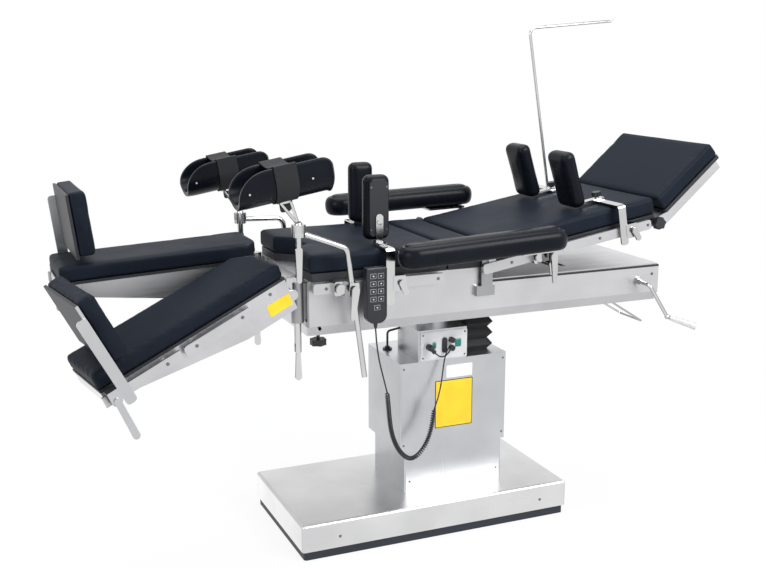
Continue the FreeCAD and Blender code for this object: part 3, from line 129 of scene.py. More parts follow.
class Surface(Nodes):
    """A material's node tree and its main shader."""

    def __init__(self, name: str) -> None:
        """Makes a material with this name."""
        self.material = bpy.data.materials.new(name)
        self.material.use_nodes = True
        super().__init__(self.material.node_tree)
        self.shader = self.tree.nodes["Principled BSDF"]

    def place(self, scale: Triple) -> Socket:
        """Gives object coordinates multiplied by factors along X, Y and Z, per metre."""
        where = self.add("ShaderNodeTexCoord").outputs["Object"]
        return self.add("ShaderNodeMapping", {"Scale": scale, "Vector": where}).outputs["Vector"]

    def noise(self, scale: Triple, detail: float = 3.0) -> Socket:
        """Gives a noise value from 0 to 1.

        Args:
            scale: Pattern scale along X, Y and Z, per metre.
            detail: Octaves of the noise.

        Returns:
            The value socket.
        """
        inputs = {"Scale": 1.0, "Detail": detail, "Vector": self.place(scale)}
        return self.add("ShaderNodeTexNoise", inputs).outputs["Fac"]

    def spread(self, value: Socket, low: float, high: float) -> Socket:
        """Maps the middle of a noise value onto a range.

        Args:
            value: The noise value.
            low: Result at the low end of NOISE_SPAN.
            high: Result at its high end.

        Returns:
            The mapped value socket.
        """
        start, end = NOISE_SPAN
        inputs = {"From Min": start, "From Max": end, "To Min": low, "To Max": high}
        return self.add("ShaderNodeMapRange", {"Value": value, **inputs}).outputs["Result"]

    def tint(self, value: Socket, dark: Triple, pale: Triple) -> Socket:
        """Colours the surface between two tones.

        Args:
            value: What chooses the tone.
            dark: Colour at low values.
            pale: Colour at high values.

        Returns:
            The colour socket.
        """
        ramp = self.add("ShaderNodeValToRGB", {"Fac": value})
        for stop, position, tone in zip(ramp.color_ramp.elements, NOISE_SPAN, (dark, pale)):
            stop.position = position
            stop.color = (*tone, 1.0)
        self.fill(self.shader, {"Base Color": ramp.outputs["Color"]})
        return ramp.outputs["Color"]

    def paint_reflection_bands(self, color: Socket, stops: tuple[tuple[float, float], ...]) -> None:
        """Paints reflection into a colour: brighter or darker by how far the surface turns away.

        Args:
            color: The colour socket.
            stops: Pairs of turning away, from 0 to 1, and brightness there.
        """
        turn = self.add("ShaderNodeLayerWeight", {"Blend": 0.5})
        ramp = self.add("ShaderNodeValToRGB", {"Fac": turn.outputs["Facing"]})
        points = ramp.color_ramp.elements
        for _ in stops[2:]:
            points.new(0.5)
        for point, (position, level) in zip(points, stops):
            point.position = position
            point.color = (level, level, level, 1.0)
        both = {0: color, 1: ramp.outputs["Color"]}
        mixed = self.add("ShaderNodeVectorMath", both, operation="MULTIPLY")
        self.fill(self.shader, {"Base Color": mixed.outputs["Vector"]})

    def bump(self, value: Socket, strength: float, depth: float) -> None:
        """Raises and lowers the surface by a value.

        Args:
            value: Height from 0 to 1.
            strength: Share of the effect that is used.
            depth: Height in metres.
        """
        inputs = {"Strength": strength, "Distance": depth, "Height": value}
        self.fill(self.shader, {"Normal": self.add("ShaderNodeBump", inputs).outputs["Normal"]})


def scaled(color: Triple, factor: float) -> Triple:
    """A colour made lighter or darker by a factor."""
    return tuple(min(1.0, channel * factor) for channel in color)


@dataclass(frozen=True)
class Steel:
    """Brushed or polished stainless steel, with painted reflection in its colour."""

    name: str
    color: Triple = (0.74, 0.75, 0.77)
    rough: tuple[float, float] = (0.27, 0.35)
    brush: Brush = Brush.NONE
    painted_reflection: PaintedReflection = PaintedReflection.SHEET

    def make(self) -> Material:
        """Builds the material."""
        nodes = Surface(self.name)
        streaks = nodes.noise(self.brush.value, 4.0)
        cloud = nodes.noise((7.0, 7.0, 7.0), 2.0)
        color = nodes.tint(cloud, scaled(self.color, 0.93), scaled(self.color, 1.06))
        # Painted reflection: the base colour is brightened and darkened by viewing angle.
        nodes.paint_reflection_bands(color, self.painted_reflection.value)
        rough = nodes.spread(streaks, *self.rough)
        nodes.fill(nodes.shader, {"Metallic": 1.0, "Roughness": rough})
        nodes.bump(streaks, 0.2, 0.00003)
        return nodes.material


@dataclass(frozen=True)
class Cover:
    """Black cover of a cushion, matt with a fine grain or moulded and shiny."""

    name: str
    sheen: Sheen = Sheen.MATT
    color: Triple = (0.0085, 0.012, 0.0195)

    def make(self) -> Material:
        """Builds the material."""
        rough, grain, gloss = self.sheen.value
        nodes = Surface(self.name)
        inputs = {"Scale": 1.0, "Vector": nodes.place((850.0, 850.0, 850.0))}
        pores = nodes.add("ShaderNodeTexVoronoi", inputs)
        cloud = nodes.noise((9.0, 9.0, 9.0), 3.0)
        nodes.tint(cloud, scaled(self.color, 0.85), scaled(self.color, 1.2))
        roughness = nodes.spread(cloud, rough - 0.04, rough + 0.05)
        nodes.fill(nodes.shader, {"Roughness": roughness, "Specular IOR Level": gloss})
        nodes.bump(pores.outputs["Distance"], grain, 0.0004)
        return nodes.material


@dataclass(frozen=True)
class Plain:
    """Plastic, rubber or paint with a fine texture."""

    name: str
    color: Triple
    rough: float = 0.45
    grain: float = 0.06

    def make(self) -> Material:
        """Builds the material."""
        nodes = Surface(self.name)
        fine = nodes.noise((700.0, 700.0, 700.0), 2.0)
        cloud = nodes.noise((14.0, 14.0, 14.0), 2.0)
        nodes.tint(cloud, scaled(self.color, 0.9), scaled(self.color, 1.08))
        roughness = nodes.spread(fine, self.rough - 0.04, self.rough + 0.05)
        nodes.fill(nodes.shader, {"Roughness": roughness})
        nodes.bump(fine, self.grain, 0.0002)
        return nodes.material


class Finishes:
    """Every finish of the table, made once."""

    def __init__(self) -> None:
        """Builds all materials."""
        self.sheet_x = Steel("steel_brushed_x", brush=Brush.ALONG_X).make()
        self.sheet_z = Steel("steel_brushed_z", brush=Brush.ALONG_Z).make()
        self.base_sheet = Steel("steel_base", (0.94, 0.94, 0.95), brush=Brush.ALONG_X).make()
        self.pale_sheet = Steel(
            "steel_pale_sheet", (0.79, 0.79, 0.81), (0.3, 0.42), Brush.ALONG_X
        ).make()
        self.bright = Steel(
            "steel_polished", (0.68, 0.68, 0.685), (0.1, 0.17), painted_reflection=PaintedReflection.POLISHED
        ).make()
        self.screw = Steel("steel_screws", (0.3, 0.3, 0.31), (0.2, 0.3)).make()
        self.cast = Steel("cast_metal", (0.5, 0.505, 0.51), (0.3, 0.42)).make()
        self.cover = Cover("cushion_cover").make()
        self.moulded = Cover("moulded_cover", Sheen.MOULDED, (0.0045, 0.006, 0.0095)).make()
        self.dark_board = Plain("dark_board", (0.012, 0.0135, 0.018), 0.5).make()
        self.black = Plain("black_plastic", (0.011, 0.0125, 0.017), 0.38).make()
        self.rubber = Plain("black_rubber", (0.012, 0.0125, 0.014), 0.62).make()
        self.strap = Plain("woven_strap", (0.009, 0.0095, 0.012), 0.85, 0.6).make()
        self.plinth = Plain("plinth_paint", (0.012, 0.014, 0.026), 0.5).make()
        self.pale_paint = Plain("pale_paint", (0.62, 0.62, 0.63), 0.35).make()
        # The grip is white; its light grey colour is painted shade so that it shows against the
        # white surroundings.
        self.white_grip = Plain("white_grip", (0.55, 0.55, 0.545), 0.28).make()
        self.teal = Plain("teal_switch", (0.0, 0.19, 0.16), 0.2).make()
        self.ink = Plain("pale_ink", (0.5, 0.52, 0.55), 0.5).make()
        self.yellow = Plain("yellow_plate", (0.86, 0.56, 0.01), 0.4).make()
        self.white_plate = Plain("white_plate", (0.78, 0.78, 0.79), 0.4).make()


# ---------------------------------------------------------------- mesh helpers


def new_object(name: str, mesh: bpy.types.Mesh, material: Material) -> Thing:
    """Links a mesh as a shaded object.

    Args:
        name: The piece's name.
        mesh: Its mesh.
        material: Its finish.

    Returns:
        The object, at the origin.
    """
    piece = bpy.data.objects.new(name, mesh)
    bpy.context.scene.collection.objects.link(piece)
    mesh.materials.clear()
    mesh.materials.append(material)
    mesh.name = name
    return piece


def smooth(piece: Thing, angle: float = 35.0) -> Thing:
    """Shades a piece smooth, with edges sharper than an angle kept.

    Args:
        piece: A mesh object.
        angle: Limit between smooth and sharp, in degrees.

    Returns:
        The same object.
    """
    mesh = piece.data
    mesh.polygons.foreach_set("use_smooth", [True] * len(mesh.polygons))
    mesh.set_sharp_from_angle(angle=math.radians(angle))
    return piece


def islands(node: str) -> list[Loose]:
    """Splits a copy of a CAD node into its separate solids.

    Args:
        node: The CAD node's name.

    Returns:
        One merged mesh for each solid, largest box first, in the same order at each call.
    """
    whole = bmesh.new()
    whole.from_mesh(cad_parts[node].data)
    bmesh.ops.remove_doubles(whole, verts=whole.verts, dist=1e-6)
    left = dict.fromkeys(whole.faces)
    parts = []
    while left:
        group = [left.popitem()[0]]
        for face in group:
            for edge in face.edges:
                if len(edge.link_faces) == 2:
                    for other in edge.link_faces:
                        if other in left:
                            del left[other]
                            group.append(other)
        part = bmesh.new()
        corners = dict.fromkeys(v for face in group for v in face.verts)
        made = {v: part.verts.new(v.co) for v in corners}
        for face in group:
            part.faces.new([made[v] for v in face.verts])
        parts.append(part)
    whole.free()

    def order(part: Loose) -> tuple[float, ...]:
        """Volume of a part's box, largest first, then the box's low corner."""
        co = np.array([v.co for v in part.verts])
        return (-float(np.prod(np.ptp(co, axis=0))), *co.min(0))

    return sorted(parts, key=order)


def solid(node: str, index: int) -> Loose:
    """Copies one solid of a CAD node.

    Args:
        node: The CAD node's name.
        index: Which of its solids, largest first.

    Returns:
        The solid's mesh.
    """
    parts = islands(node)
    part = parts.pop(index)
    for other in parts:
        other.free()
    return part


def as_object(part: Loose, name: str, material: Material) -> Thing:
    """Turns a loose mesh into a piece.

    Args:
        part: The mesh, freed afterwards.
        name: The piece's name.
        material: Its finish.

    Returns:
        The new object.
    """
    mesh = bpy.data.meshes.new(name)
    part.to_mesh(mesh)
    part.free()
    return new_object(name, mesh, material)


def bake(piece: Thing) -> Thing:
    """Replaces a piece's mesh by the result of its modifiers."""
    graph = bpy.context.evaluated_depsgraph_get()
    graph.update()
    mesh = bpy.data.meshes.new_from_object(piece.evaluated_get(graph))
    piece.modifiers.clear()
    old = piece.data
    piece.data = mesh
    bpy.data.meshes.remove(old)
    return piece


def points_of(mesh: bpy.types.Mesh) -> np.ndarray:
    """All vertex positions of a mesh as rows."""
    co = np.zeros(len(mesh.vertices) * 3)
    mesh.vertices.foreach_get("co", co)
    return co.reshape(-1, 3)


def put_points(mesh: bpy.types.Mesh, points: np.ndarray) -> None:
    """Writes vertex positions back to a mesh."""
    mesh.vertices.foreach_set("co", points.ravel())
    mesh.update()


def rounded_slab(
    size: Triple, radius: float, edge: float, segments: int = 5
) -> Loose:
    """Flat plate with round corners and softened rims, lying at the origin.

    Args:
        size: Length along X, width along Y and thickness along Z.
        radius: Corner radius seen from above.
        edge: Rim radius.
        segments: Steps in each corner.

    Returns:
        The mesh.
    """
    length, width, thick = size
    plate = bmesh.new()
    ring = []
    for cx, cy, start in (
        (length / 2 - radius, width / 2 - radius, 0),
        (-length / 2 + radius, width / 2 - radius, 90),
        (-length / 2 + radius, -width / 2 + radius, 180),
        (length / 2 - radius, -width / 2 + radius, 270),
    ):
        for i in range(segments + 1):
            a = math.radians(start + 90 * i / segments)
            ring.append((cx + radius * math.cos(a), cy + radius * math.sin(a)))
    low = [plate.verts.new((x, y, -thick / 2)) for x, y in ring]
    high = [plate.verts.new((x, y, thick / 2)) for x, y in ring]
    plate.faces.new(list(reversed(low)))
    plate.faces.new(high)
    count = len(ring)
    for i in range(count):
        j = (i + 1) % count
        plate.faces.new([low[i], low[j], high[j], high[i]])
    rims = [e for e in plate.edges if abs(e.verts[0].co.z - e.verts[1].co.z) < 1e-9]
    bmesh.ops.bevel(plate, geom=rims, offset=edge, segments=2, affect="EDGES")
    return plate


def turn_to(normal: Vector, up: Vector) -> Matrix:
    """Rotation that takes +Z to a normal and +Y near an up direction."""
    z = normal.normalized()
    x = up.cross(z).normalized()
    y = z.cross(x)
    return Matrix((x, y, z)).transposed()


def put(part: Loose, at: Vector, turn: Matrix | None = None) -> Loose:
    """Moves a loose mesh to its place.

    Args:
        part: The mesh.
        at: Where its origin goes.
        turn: Rotation about its origin, if any.

    Returns:
        The same mesh.
    """
    matrix = Matrix.Translation(at) @ (turn.to_4x4() if turn else Matrix.Identity(4))
    bmesh.ops.transform(part, matrix=matrix, verts=part.verts)
    return part


def lathe(profile: list[tuple[float, float]], steps: int = 32) -> Loose:
    """Turned body about Z.

    Args:
        profile: Radius and height of each ring, ends at radius 0.
        steps: Points round the axis.

    Returns:
        The closed mesh.
    """
    body = bmesh.new()
    rings = []
    for radius, height in profile:
        if radius < 1e-7:
            rings.append([body.verts.new((0, 0, height))])
            continue
        angles = [math.tau * i / steps for i in range(steps)]
        ring = [(radius * math.cos(a), radius * math.sin(a), height) for a in angles]
        rings.append([body.verts.new(at) for at in ring])
    for low, high in zip(rings, rings[1:]):
        for i in range(steps):
            j = (i + 1) % steps
            corners = [(low, i), (low, j), (high, j), (high, i)]
            unique = list(dict.fromkeys(ring[k % len(ring)] for ring, k in corners))
            if len(unique) > 2:
                body.faces.new(unique)
    bmesh.ops.recalc_face_normals(body, faces=body.faces)
    return body


def merge(parts: list[Loose]) -> Loose:
    """Joins several loose meshes into the first one."""
    first = parts[0]
    for part in parts[1:]:
        mesh = bpy.data.meshes.new("joined")
        part.to_mesh(mesh)
        part.free()
        first.from_mesh(mesh)
        bpy.data.meshes.remove(mesh)
    return first


# ---------------------------------------------------------------- repeated details


class Stamp(Enum):
    """Small shapes that are set many times."""

    HEAD = "head"
    BLOCK = "block"


@dataclass
class Stamps:
    """Copies of one small shape on a list of spots, made by a Geometry Nodes tree."""

    stamp: Stamp
    material: Material
    up: Vector | None = None
    rim_sides: int = 20
    middle_share: float = 0.55

    def shape(self, nodes: Nodes, size: bpy.types.bpy_prop_collection) -> Socket:
        """Adds the nodes that make one copy.

        Args:
            nodes: The tree being built.
            size: Outputs of its group input, by name.

        Returns:
            The socket of the copy's mesh.
        """
        high = size["Height"]
        if self.stamp is Stamp.BLOCK:
            sides = {"X": size["Length"], "Y": size["Width"], "Z": high}
            vector = nodes.add("ShaderNodeCombineXYZ", sides).outputs["Vector"]
            return nodes.add("GeometryNodeMeshCube", {"Size": vector}).outputs["Mesh"]
        inputs = {"Vertices": self.rim_sides, "Radius": size["Length"], "Depth": high}
        flange = nodes.add("GeometryNodeMeshCylinder", inputs)
        share = {0: size["Width"], 1: self.middle_share}
        small = nodes.add("ShaderNodeMath", share, operation="MULTIPLY").outputs[0]
        inputs = {"Vertices": size["Sides"], "Radius": small, "Depth": high}
        middle = nodes.add("GeometryNodeMeshCylinder", inputs).outputs["Mesh"]
        rise = nodes.add("ShaderNodeCombineXYZ", {"Z": high}).outputs["Vector"]
        lift = nodes.add("GeometryNodeTransform", {"Geometry": middle, "Translation": rise})
        joined = nodes.add("GeometryNodeJoinGeometry")
        for part in (flange.outputs["Mesh"], lift.outputs["Geometry"]):
            nodes.fill(joined, {"Geometry": part})
        return joined.outputs["Geometry"]

    def turned(self, nodes: Nodes) -> Socket:
        """Adds the nodes that turn each copy outward, and upright where it has an up."""
        align = "FunctionNodeAlignRotationToVector"
        facing = nodes.add(
            "GeometryNodeInputNamedAttribute", {"Name": "facing"}, data_type="FLOAT_VECTOR"
        )
        aim = nodes.add(align, {"Vector": facing.outputs["Attribute"]}).outputs["Rotation"]
        if self.up is None:
            return aim
        inputs = {"Vector": self.up, "Rotation": aim}
        return nodes.add(align, inputs, axis="X", pivot_axis="Z").outputs["Rotation"]

    def tree(self, name: str) -> bpy.types.NodeTree:
        """Builds the whole tree.

        Args:
            name: The tree's name.

        Returns:
            The tree, with its sizes as named inputs.
        """
        tree = bpy.data.node_groups.new(name, "GeometryNodeTree")
        sizes = [(size, "INPUT", "Float") for size in ("Length", "Width", "Height")]
        ends = [("Sides", "INPUT", "Int"), ("Geometry", "OUTPUT", "Geometry")]
        for title, way, kind in [("Geometry", "INPUT", "Geometry"), *sizes, *ends]:
            tree.interface.new_socket(title, in_out=way, socket_type="NodeSocket" + kind)
        nodes = Nodes(tree)
        start = nodes.add("NodeGroupInput").outputs
        inputs = {
            "Points": start["Geometry"],
            "Instance": self.shape(nodes, start),
            "Rotation": self.turned(nodes),
        }
        copies = nodes.add("GeometryNodeInstanceOnPoints", inputs).outputs["Instances"]
        real = nodes.add("GeometryNodeRealizeInstances", {"Geometry": copies})
        inputs = {"Geometry": real.outputs["Geometry"], "Material": self.material}
        painted = nodes.add("GeometryNodeSetMaterial", inputs).outputs["Geometry"]
        nodes.add("NodeGroupOutput", {"Geometry": painted})
        return tree

    def make(
        self,
        name: str,
        spots: Spots,
        size: Triple,
        sides: int = 6,
    ) -> Thing:
        """Sets a copy on each spot.

        Args:
            name: The piece's name.
            spots: Place and outward direction of each copy.
            size: Length, width and height of a copy, or two radii and a height.
            sides: Corners of a head's raised middle.

        Returns:
            The piece as a plain mesh.
        """
        mesh = bpy.data.meshes.new(name)
        mesh.from_pydata([tuple(at) for at, _ in spots], [], [])
        facing = mesh.attributes.new("facing", "FLOAT_VECTOR", "POINT")
        facing.data.foreach_set("vector", [c for _, way in spots for c in way])
        piece = new_object(name, mesh, self.material)
        tree = self.tree(name + "_tree")
        modifier = piece.modifiers.new("copies", "NODES")
        modifier.node_group = tree
        values = dict(zip(("Length", "Width", "Height"), size), Sides=sides)
        for item in tree.interface.items_tree:
            if item.in_out == "INPUT" and item.name in values:
                modifier[item.identifier] = values[item.name]
        bake(piece)
        return smooth(piece, 30.0)


# ---------------------------------------------------------------- cushions


@dataclass
class Cushion:
    """One stuffed pad: the CAD block swelled by cloth simulation."""

    name: str
    node: str
    body: str
    material: Material
    voxel: float = 0.006
    swell: float = 0.003
    fill: float = 0.85
    flat_back: bool = True
    flat_share: float = 0.4
    pressure: float = 4.0
    stiffness: float = 25.0
    bending: float = 4.0
    frames: int = 20

    def base_mesh(self) -> Thing:
        """Makes the evenly meshed block that is swelled.

        Returns:
            The object before the simulation.
        """
        part = solid(self.node, 0)
        bmesh.ops.recalc_face_normals(part, faces=part.faces)
        piece = as_object(part, self.name, self.material)
        remesh = piece.modifiers.new("even", "REMESH")
        remesh.mode = "VOXEL"
        remesh.voxel_size = self.voxel
        remesh.use_smooth_shade = True
        return bake(piece)

    def facing(self, points: np.ndarray) -> np.ndarray:
        """Thin direction of the block, pointing to its upper side."""
        spread = np.cov((points - points.mean(0)).T)
        values, vectors = np.linalg.eigh(spread)
        up = vectors[:, 0]
        return up if up[2] + 0.001 * up[0] >= 0 else -up

    def limit(self, start: np.ndarray, moved: np.ndarray) -> np.ndarray:
        """Keeps the swelling small and the side that lies on a board flat.

        Args:
            start: Points before the simulation.
            moved: Points after it.

        Returns:
            The allowed points.
        """
        up = self.facing(start)
        change = moved - start
        size = np.linalg.norm(change, axis=1, keepdims=True)
        change *= np.minimum(1.0, self.swell / np.maximum(size, 1e-9))
        if self.flat_back:
            height = (start - start.mean(0)) @ up
            rise = change @ up
            low = height < height.min() + self.flat_share * np.ptp(height)
            change[low] -= np.outer(np.minimum(rise[low], 0.0), up)
        return start + change

    def simulate(self, piece: Thing) -> np.ndarray:
        """Runs the cloth simulation.

        Args:
            piece: The evenly meshed block.

        Returns:
            The points at its last frame.
        """
        cloth = piece.modifiers.new("air", "CLOTH")
        settings = cloth.settings
        settings.use_pressure = True
        settings.uniform_pressure_force = self.pressure
        settings.effector_weights.gravity = 0.0
        settings.tension_stiffness = settings.compression_stiffness = self.stiffness
        settings.bending_stiffness = self.bending
        settings.quality = 3
        cloth.point_cache.frame_start = 1
        cloth.point_cache.frame_end = self.frames
        scene = bpy.context.scene
        for step in range(1, self.frames + 1):
            scene.frame_set(step)
        graph = bpy.context.evaluated_depsgraph_get()
        result = piece.evaluated_get(graph)
        moved = points_of(result.data)
        piece.modifiers.clear()
        scene.frame_set(1)
        return moved

    def make(self) -> Thing:
        """Builds the finished cushion and puts it in its CAD node's place."""
        piece = self.base_mesh()
        start = points_of(piece.data)
        moved = self.simulate(piece)
        if moved.shape == start.shape and np.isfinite(moved).all():
            put_points(piece.data, self.limit(start, moved))
        relax = piece.modifiers.new("relax", "SMOOTH")
        relax.factor = 0.5
        relax.iterations = 2
        finer = piece.modifiers.new("finer", "SUBSURF")
        finer.levels = finer.render_levels = 1
        bake(piece)
        piece.data.materials.clear()
        piece.data.materials.append(self.material)
        smooth(piece, SMOOTH_ALL)
        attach(piece, self.body)
        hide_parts(self.node)
        LOG.info("cushion %s: %d faces", self.name, len(piece.data.polygons))
        return piece


# ---------------------------------------------------------------- cord

CORD_ROUTE = {
    "lead": [
        (-238, -285, 700), (-234, -282, 656), (-224, -276, 603), (-208, -268, 551),
        (-192, -260, 498),
    ],
    "coil": [
        (-192, -260, 498), (-186, -256, 457), (-180, -250, 414), (-172, -244, 371),
        (-157, -238, 328), (-132, -230, 288), (-99, -220, 262), (-69, -211, 267),
        (-42, -203, 290), (-22, -196, 325), (-11, -190, 362), (-3, -184, 397),
    ],
    "tail": [
        (-3, -184, 397), (14, -176, 428), (27, -167, 462), (36, -160, 500), (46, -150, 538),
        (57, -143, 562), (66, -145, 577), (66, -158, 581), (57, -169, 572), (40, -174, 557),
        (20, -170, 553), (10, -157, 566),
    ],
}


@dataclass
class HandsetCord:
    """The lead from the handset: straight, then curled, then up to its plug."""

    thickness: float = 0.0045
    curl_radius: float = 0.0054
    pitch: float = 0.0072
    steps: int = 12

    def curve(self, name: str, points: list[Vector], resolution: int) -> Thing:
        """Draws a smooth curve as an object.

        Args:
            name: The curve's name.
            points: Its control points.
            resolution: Steps between two control points.

        Returns:
            The curve's object.
        """
        curve = bpy.data.curves.new(name, "CURVE")
        curve.dimensions = "3D"
        spline = curve.splines.new("NURBS")
        spline.points.add(len(points) - 1)
        for spot, at in zip(spline.points, points):
            spot.co = (*at, 1.0)
        spline.order_u = 3
        spline.use_endpoint_u = True
        spline.resolution_u = resolution
        drawn = bpy.data.objects.new(name, curve)
        bpy.context.scene.collection.objects.link(drawn)
        return drawn

    def line(self, points: list[Vector]) -> list[Vector]:
        """Reads points along a smooth curve through a route's control points."""
        ghost = self.curve("passing_line", points, 12)
        graph = bpy.context.evaluated_depsgraph_get()
        mesh = bpy.data.meshes.new_from_object(ghost.evaluated_get(graph))
        read = [v.co.copy() for v in mesh.vertices]
        bpy.data.curves.remove(ghost.data)
        bpy.data.meshes.remove(mesh)
        return read

    def helix(self, line: list[Vector]) -> list[Vector]:
        """Winds the curled part round its centre line.

        Args:
            line: Points of the centre line.

        Returns:
            Points of the helix, easing out from the centre line at both ends.
        """
        runs = [(b - a).length for a, b in zip(line, line[1:])]
        total = sum(runs)
        turns = round(total / self.pitch)
        count = turns * self.steps
        side = Vector((0.0, 1.0, 0.0))
        wound = []
        index, passed = 0, 0.0
        for i in range(count + 1):
            at = total * i / count
            while index < len(runs) - 1 and passed + runs[index] < at:
                passed += runs[index]
                index += 1
            way = (line[index + 1] - line[index]).normalized()
            centre = line[index] + way * (at - passed)
            side = (side - way * side.dot(way)).normalized()
            other = way.cross(side)
            angle = math.tau * i / self.steps
            ease = min(1.0, i / self.steps, (count - i) / self.steps)
            round_it = side * math.cos(angle) + other * math.sin(angle)
            wound.append(centre + round_it * self.curl_radius * ease)
        return wound

    def make(self, material: Material) -> Thing:
        route = {key: [Vector(p) / 1000 for p in points] for key, points in CORD_ROUTE.items()}
        centre = self.line(route["coil"])
        points = route["lead"][:-1] + self.helix(centre) + route["tail"][1:]
        piece = self.curve("handset_cord", points, 2)
        piece.data.bevel_depth = self.thickness / 2
        piece.data.bevel_resolution = 2
        piece.data.use_fill_caps = True
        piece.data.materials.append(material)
        line = self.line(points)
        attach(piece, "column")
        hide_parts("cord_ends", "cord_coil")
        return piece


# ---------------------------------------------------------------- studio


@dataclass
class Studio:
    """Camera at the photograph's place, pale floor and soft light."""

    lens: float = 51.93
    place: Triple = (-1.399, -3.0647, 1.4985)
    azimuth: float = -23.0685
    elevation: float = 12.5529
    floor_glow: float = 0.9
    floor_fade: tuple[float, float] = (0.5, 2.6)
    floor_reach: float = 40.0
    fill: float = 0.55

    def camera(self) -> None:
        """Sets the camera at the photograph's viewing point."""
        data = bpy.data.cameras.new("camera")
        data.lens = self.lens
        data.sensor_width = 36.0
        data.sensor_fit = "HORIZONTAL"
        camera = bpy.data.objects.new("camera", data)
        bpy.context.scene.collection.objects.link(camera)
        camera.location = self.place
        tilt, turn = math.radians(90 - self.elevation), math.radians(self.azimuth)
        camera.rotation_euler = (tilt, 0.0, turn)
        bpy.context.scene.camera = camera

    @staticmethod
    def seen(nodes: Nodes) -> Socket:
        """Adds nodes that give 1 where the camera, a reflection or glass looks."""
        path = nodes.add("ShaderNodeLightPath").outputs
        most = path["Is Camera Ray"]
        for other in ("Is Glossy Ray", "Is Transmission Ray"):
            both = {0: most, 1: path[other]}
            most = nodes.add("ShaderNodeMath", both, operation="MAXIMUM").outputs[0]
        return most

    def backdrop(self) -> None:
        """Lays a pale floor that shows nearly white and keeps the shadow."""
        mesh = bpy.data.meshes.new("floor")
        far = self.floor_reach
        corners = [(-far, -far, 0), (far, -far, 0), (far, far, 0), (-far, far, 0)]
        mesh.from_pydata(corners, [], [(0, 1, 2, 3)])
        nodes = Surface("pale_floor")
        look = {"Base Color": (0.9, 0.9, 0.9, 1.0), "Roughness": 0.9, "Specular IOR Level": 0.1}
        nodes.fill(nodes.shader, look)
        middle = {0: nodes.place((1.0, 1.0, 1.0))}
        away = nodes.add("ShaderNodeVectorMath", middle, operation="LENGTH").outputs["Value"]
        near, end = self.floor_fade
        span = {"From Min": near, "From Max": end, "To Min": self.floor_glow, "Value": away}
        fade = nodes.add("ShaderNodeMapRange", span).outputs["Result"]
        both = {0: self.seen(nodes), 1: fade}
        share = nodes.add("ShaderNodeMath", both, operation="MULTIPLY").outputs[0]
        glow = nodes.add("ShaderNodeEmission", {"Strength": 1.0}).outputs["Emission"]
        layers = {"Fac": share, 1: nodes.shader.outputs["BSDF"], 2: glow}
        mix = nodes.add("ShaderNodeMixShader", layers).outputs["Shader"]
        nodes.fill(nodes.tree.nodes["Material Output"], {"Surface": mix})
        new_object("floor", mesh, nodes.material)

    def world(self) -> None:
        """Lights the object evenly and shows a white background."""
        world = bpy.data.worlds.new("studio")
        bpy.context.scene.world = world
        world.use_nodes = True
        world.node_tree.nodes.clear()
        nodes = Nodes(world.node_tree)
        layers = {"Fac": self.seen(nodes)}
        shades = (((0.93, 0.95, 1.0, 1.0), self.fill), ((1.0, 1.0, 1.0, 1.0), 1.0))
        for slot, (color, strength) in enumerate(shades, 1):
            shade = nodes.add("ShaderNodeBackground", {"Color": color, "Strength": strength})
            layers[slot] = shade.outputs["Background"]
        mix = nodes.add("ShaderNodeMixShader", layers).outputs["Shader"]
        nodes.add("ShaderNodeOutputWorld", {"Surface": mix})

    def lamp(
        self, name: str, at: Triple, size: float, power: float
    ) -> None:
        """Hangs one square soft lamp that looks at the table.

        Args:
            name: The lamp's name.
            at: Its place.
            size: Length of its side.
            power: Its power in watts.
        """
        data = bpy.data.lights.new(name, "AREA")
        data.size = size
        data.energy = power
        lamp = bpy.data.objects.new(name, data)
        bpy.context.scene.collection.objects.link(lamp)
        lamp.location = at
        aim = Vector((0.0, 0.0, 0.7)) - Vector(at)
        lamp.rotation_euler = aim.to_track_quat("-Z", "Y").to_euler()

    def light(self) -> None:
        """Lays the floor and hangs the lamps."""
        self.backdrop()
        self.world()
        self.lamp("key", (1.8, -3.2, 3.2), 2.2, 150.0)
        self.lamp("top", (0.0, 0.4, 3.8), 3.0, 95.0)
        self.lamp("left", (-3.4, -1.4, 2.0), 1.6, 30.0)
        bpy.context.scene.view_settings.view_transform = "Standard"


# ---------------------------------------------------------------- moulded pads


@dataclass
class StadiumPad:
    """Long moulded pad with round ends, a soft shoulder and a panel that stands proud."""

    length: float
    width: float
    profile: tuple[tuple[float, float], ...] = (
        (0.026, -0.0345), (0.013, -0.0325), (0.0045, -0.026), (0.0006, -0.012), (0.0, 0.003),
        (0.0022, 0.0145), (0.0075, 0.0225), (0.0135, 0.0265), (0.0165, 0.0268), (0.0195, 0.0262),
        (0.0215, 0.0285), (0.0255, 0.0315), (0.033, 0.0338), (0.043, 0.0348),
    )
    round_steps: int = 20
    side_steps: int = 26

    def ring(self, inset: float) -> list[tuple[float, float]]:
        """Outline of the pad drawn inside its edge.

        Args:
            inset: Distance from the edge.

        Returns:
            Points in order, round end, side, round end, side.
        """
        radius = self.width / 2 - inset
        half = (self.length - self.width) / 2
        points = []
        for end in (1, -1):
            for i in range(self.round_steps):
                a = -math.pi / 2 + math.pi * i / self.round_steps
                points.append((end * (half + radius * math.cos(a)), end * radius * math.sin(a)))
            for i in range(self.side_steps):
                t = 1 - 2 * i / self.side_steps
                points.append((end * half * t, end * radius))
        return points

    def build(self, place: Matrix) -> Loose:
        """Builds the closed pad.

        Args:
            place: Where its middle lies.

        Returns:
            The mesh.
        """
        pad = bmesh.new()
        rings = [
            [pad.verts.new((x, y, z)) for x, y in self.ring(inset)] for inset, z in self.profile
        ]
        count = len(rings[0])
        for low, high in zip(rings, rings[1:]):
            for i in range(count):
                j = (i + 1) % count
                pad.faces.new((low[i], low[j], high[j], high[i]))
        pad.faces.new(rings[0])
        pad.faces.new(rings[-1])
        bmesh.ops.transform(pad, matrix=place, verts=pad.verts)
        bmesh.ops.recalc_face_normals(pad, faces=pad.faces)
        return pad


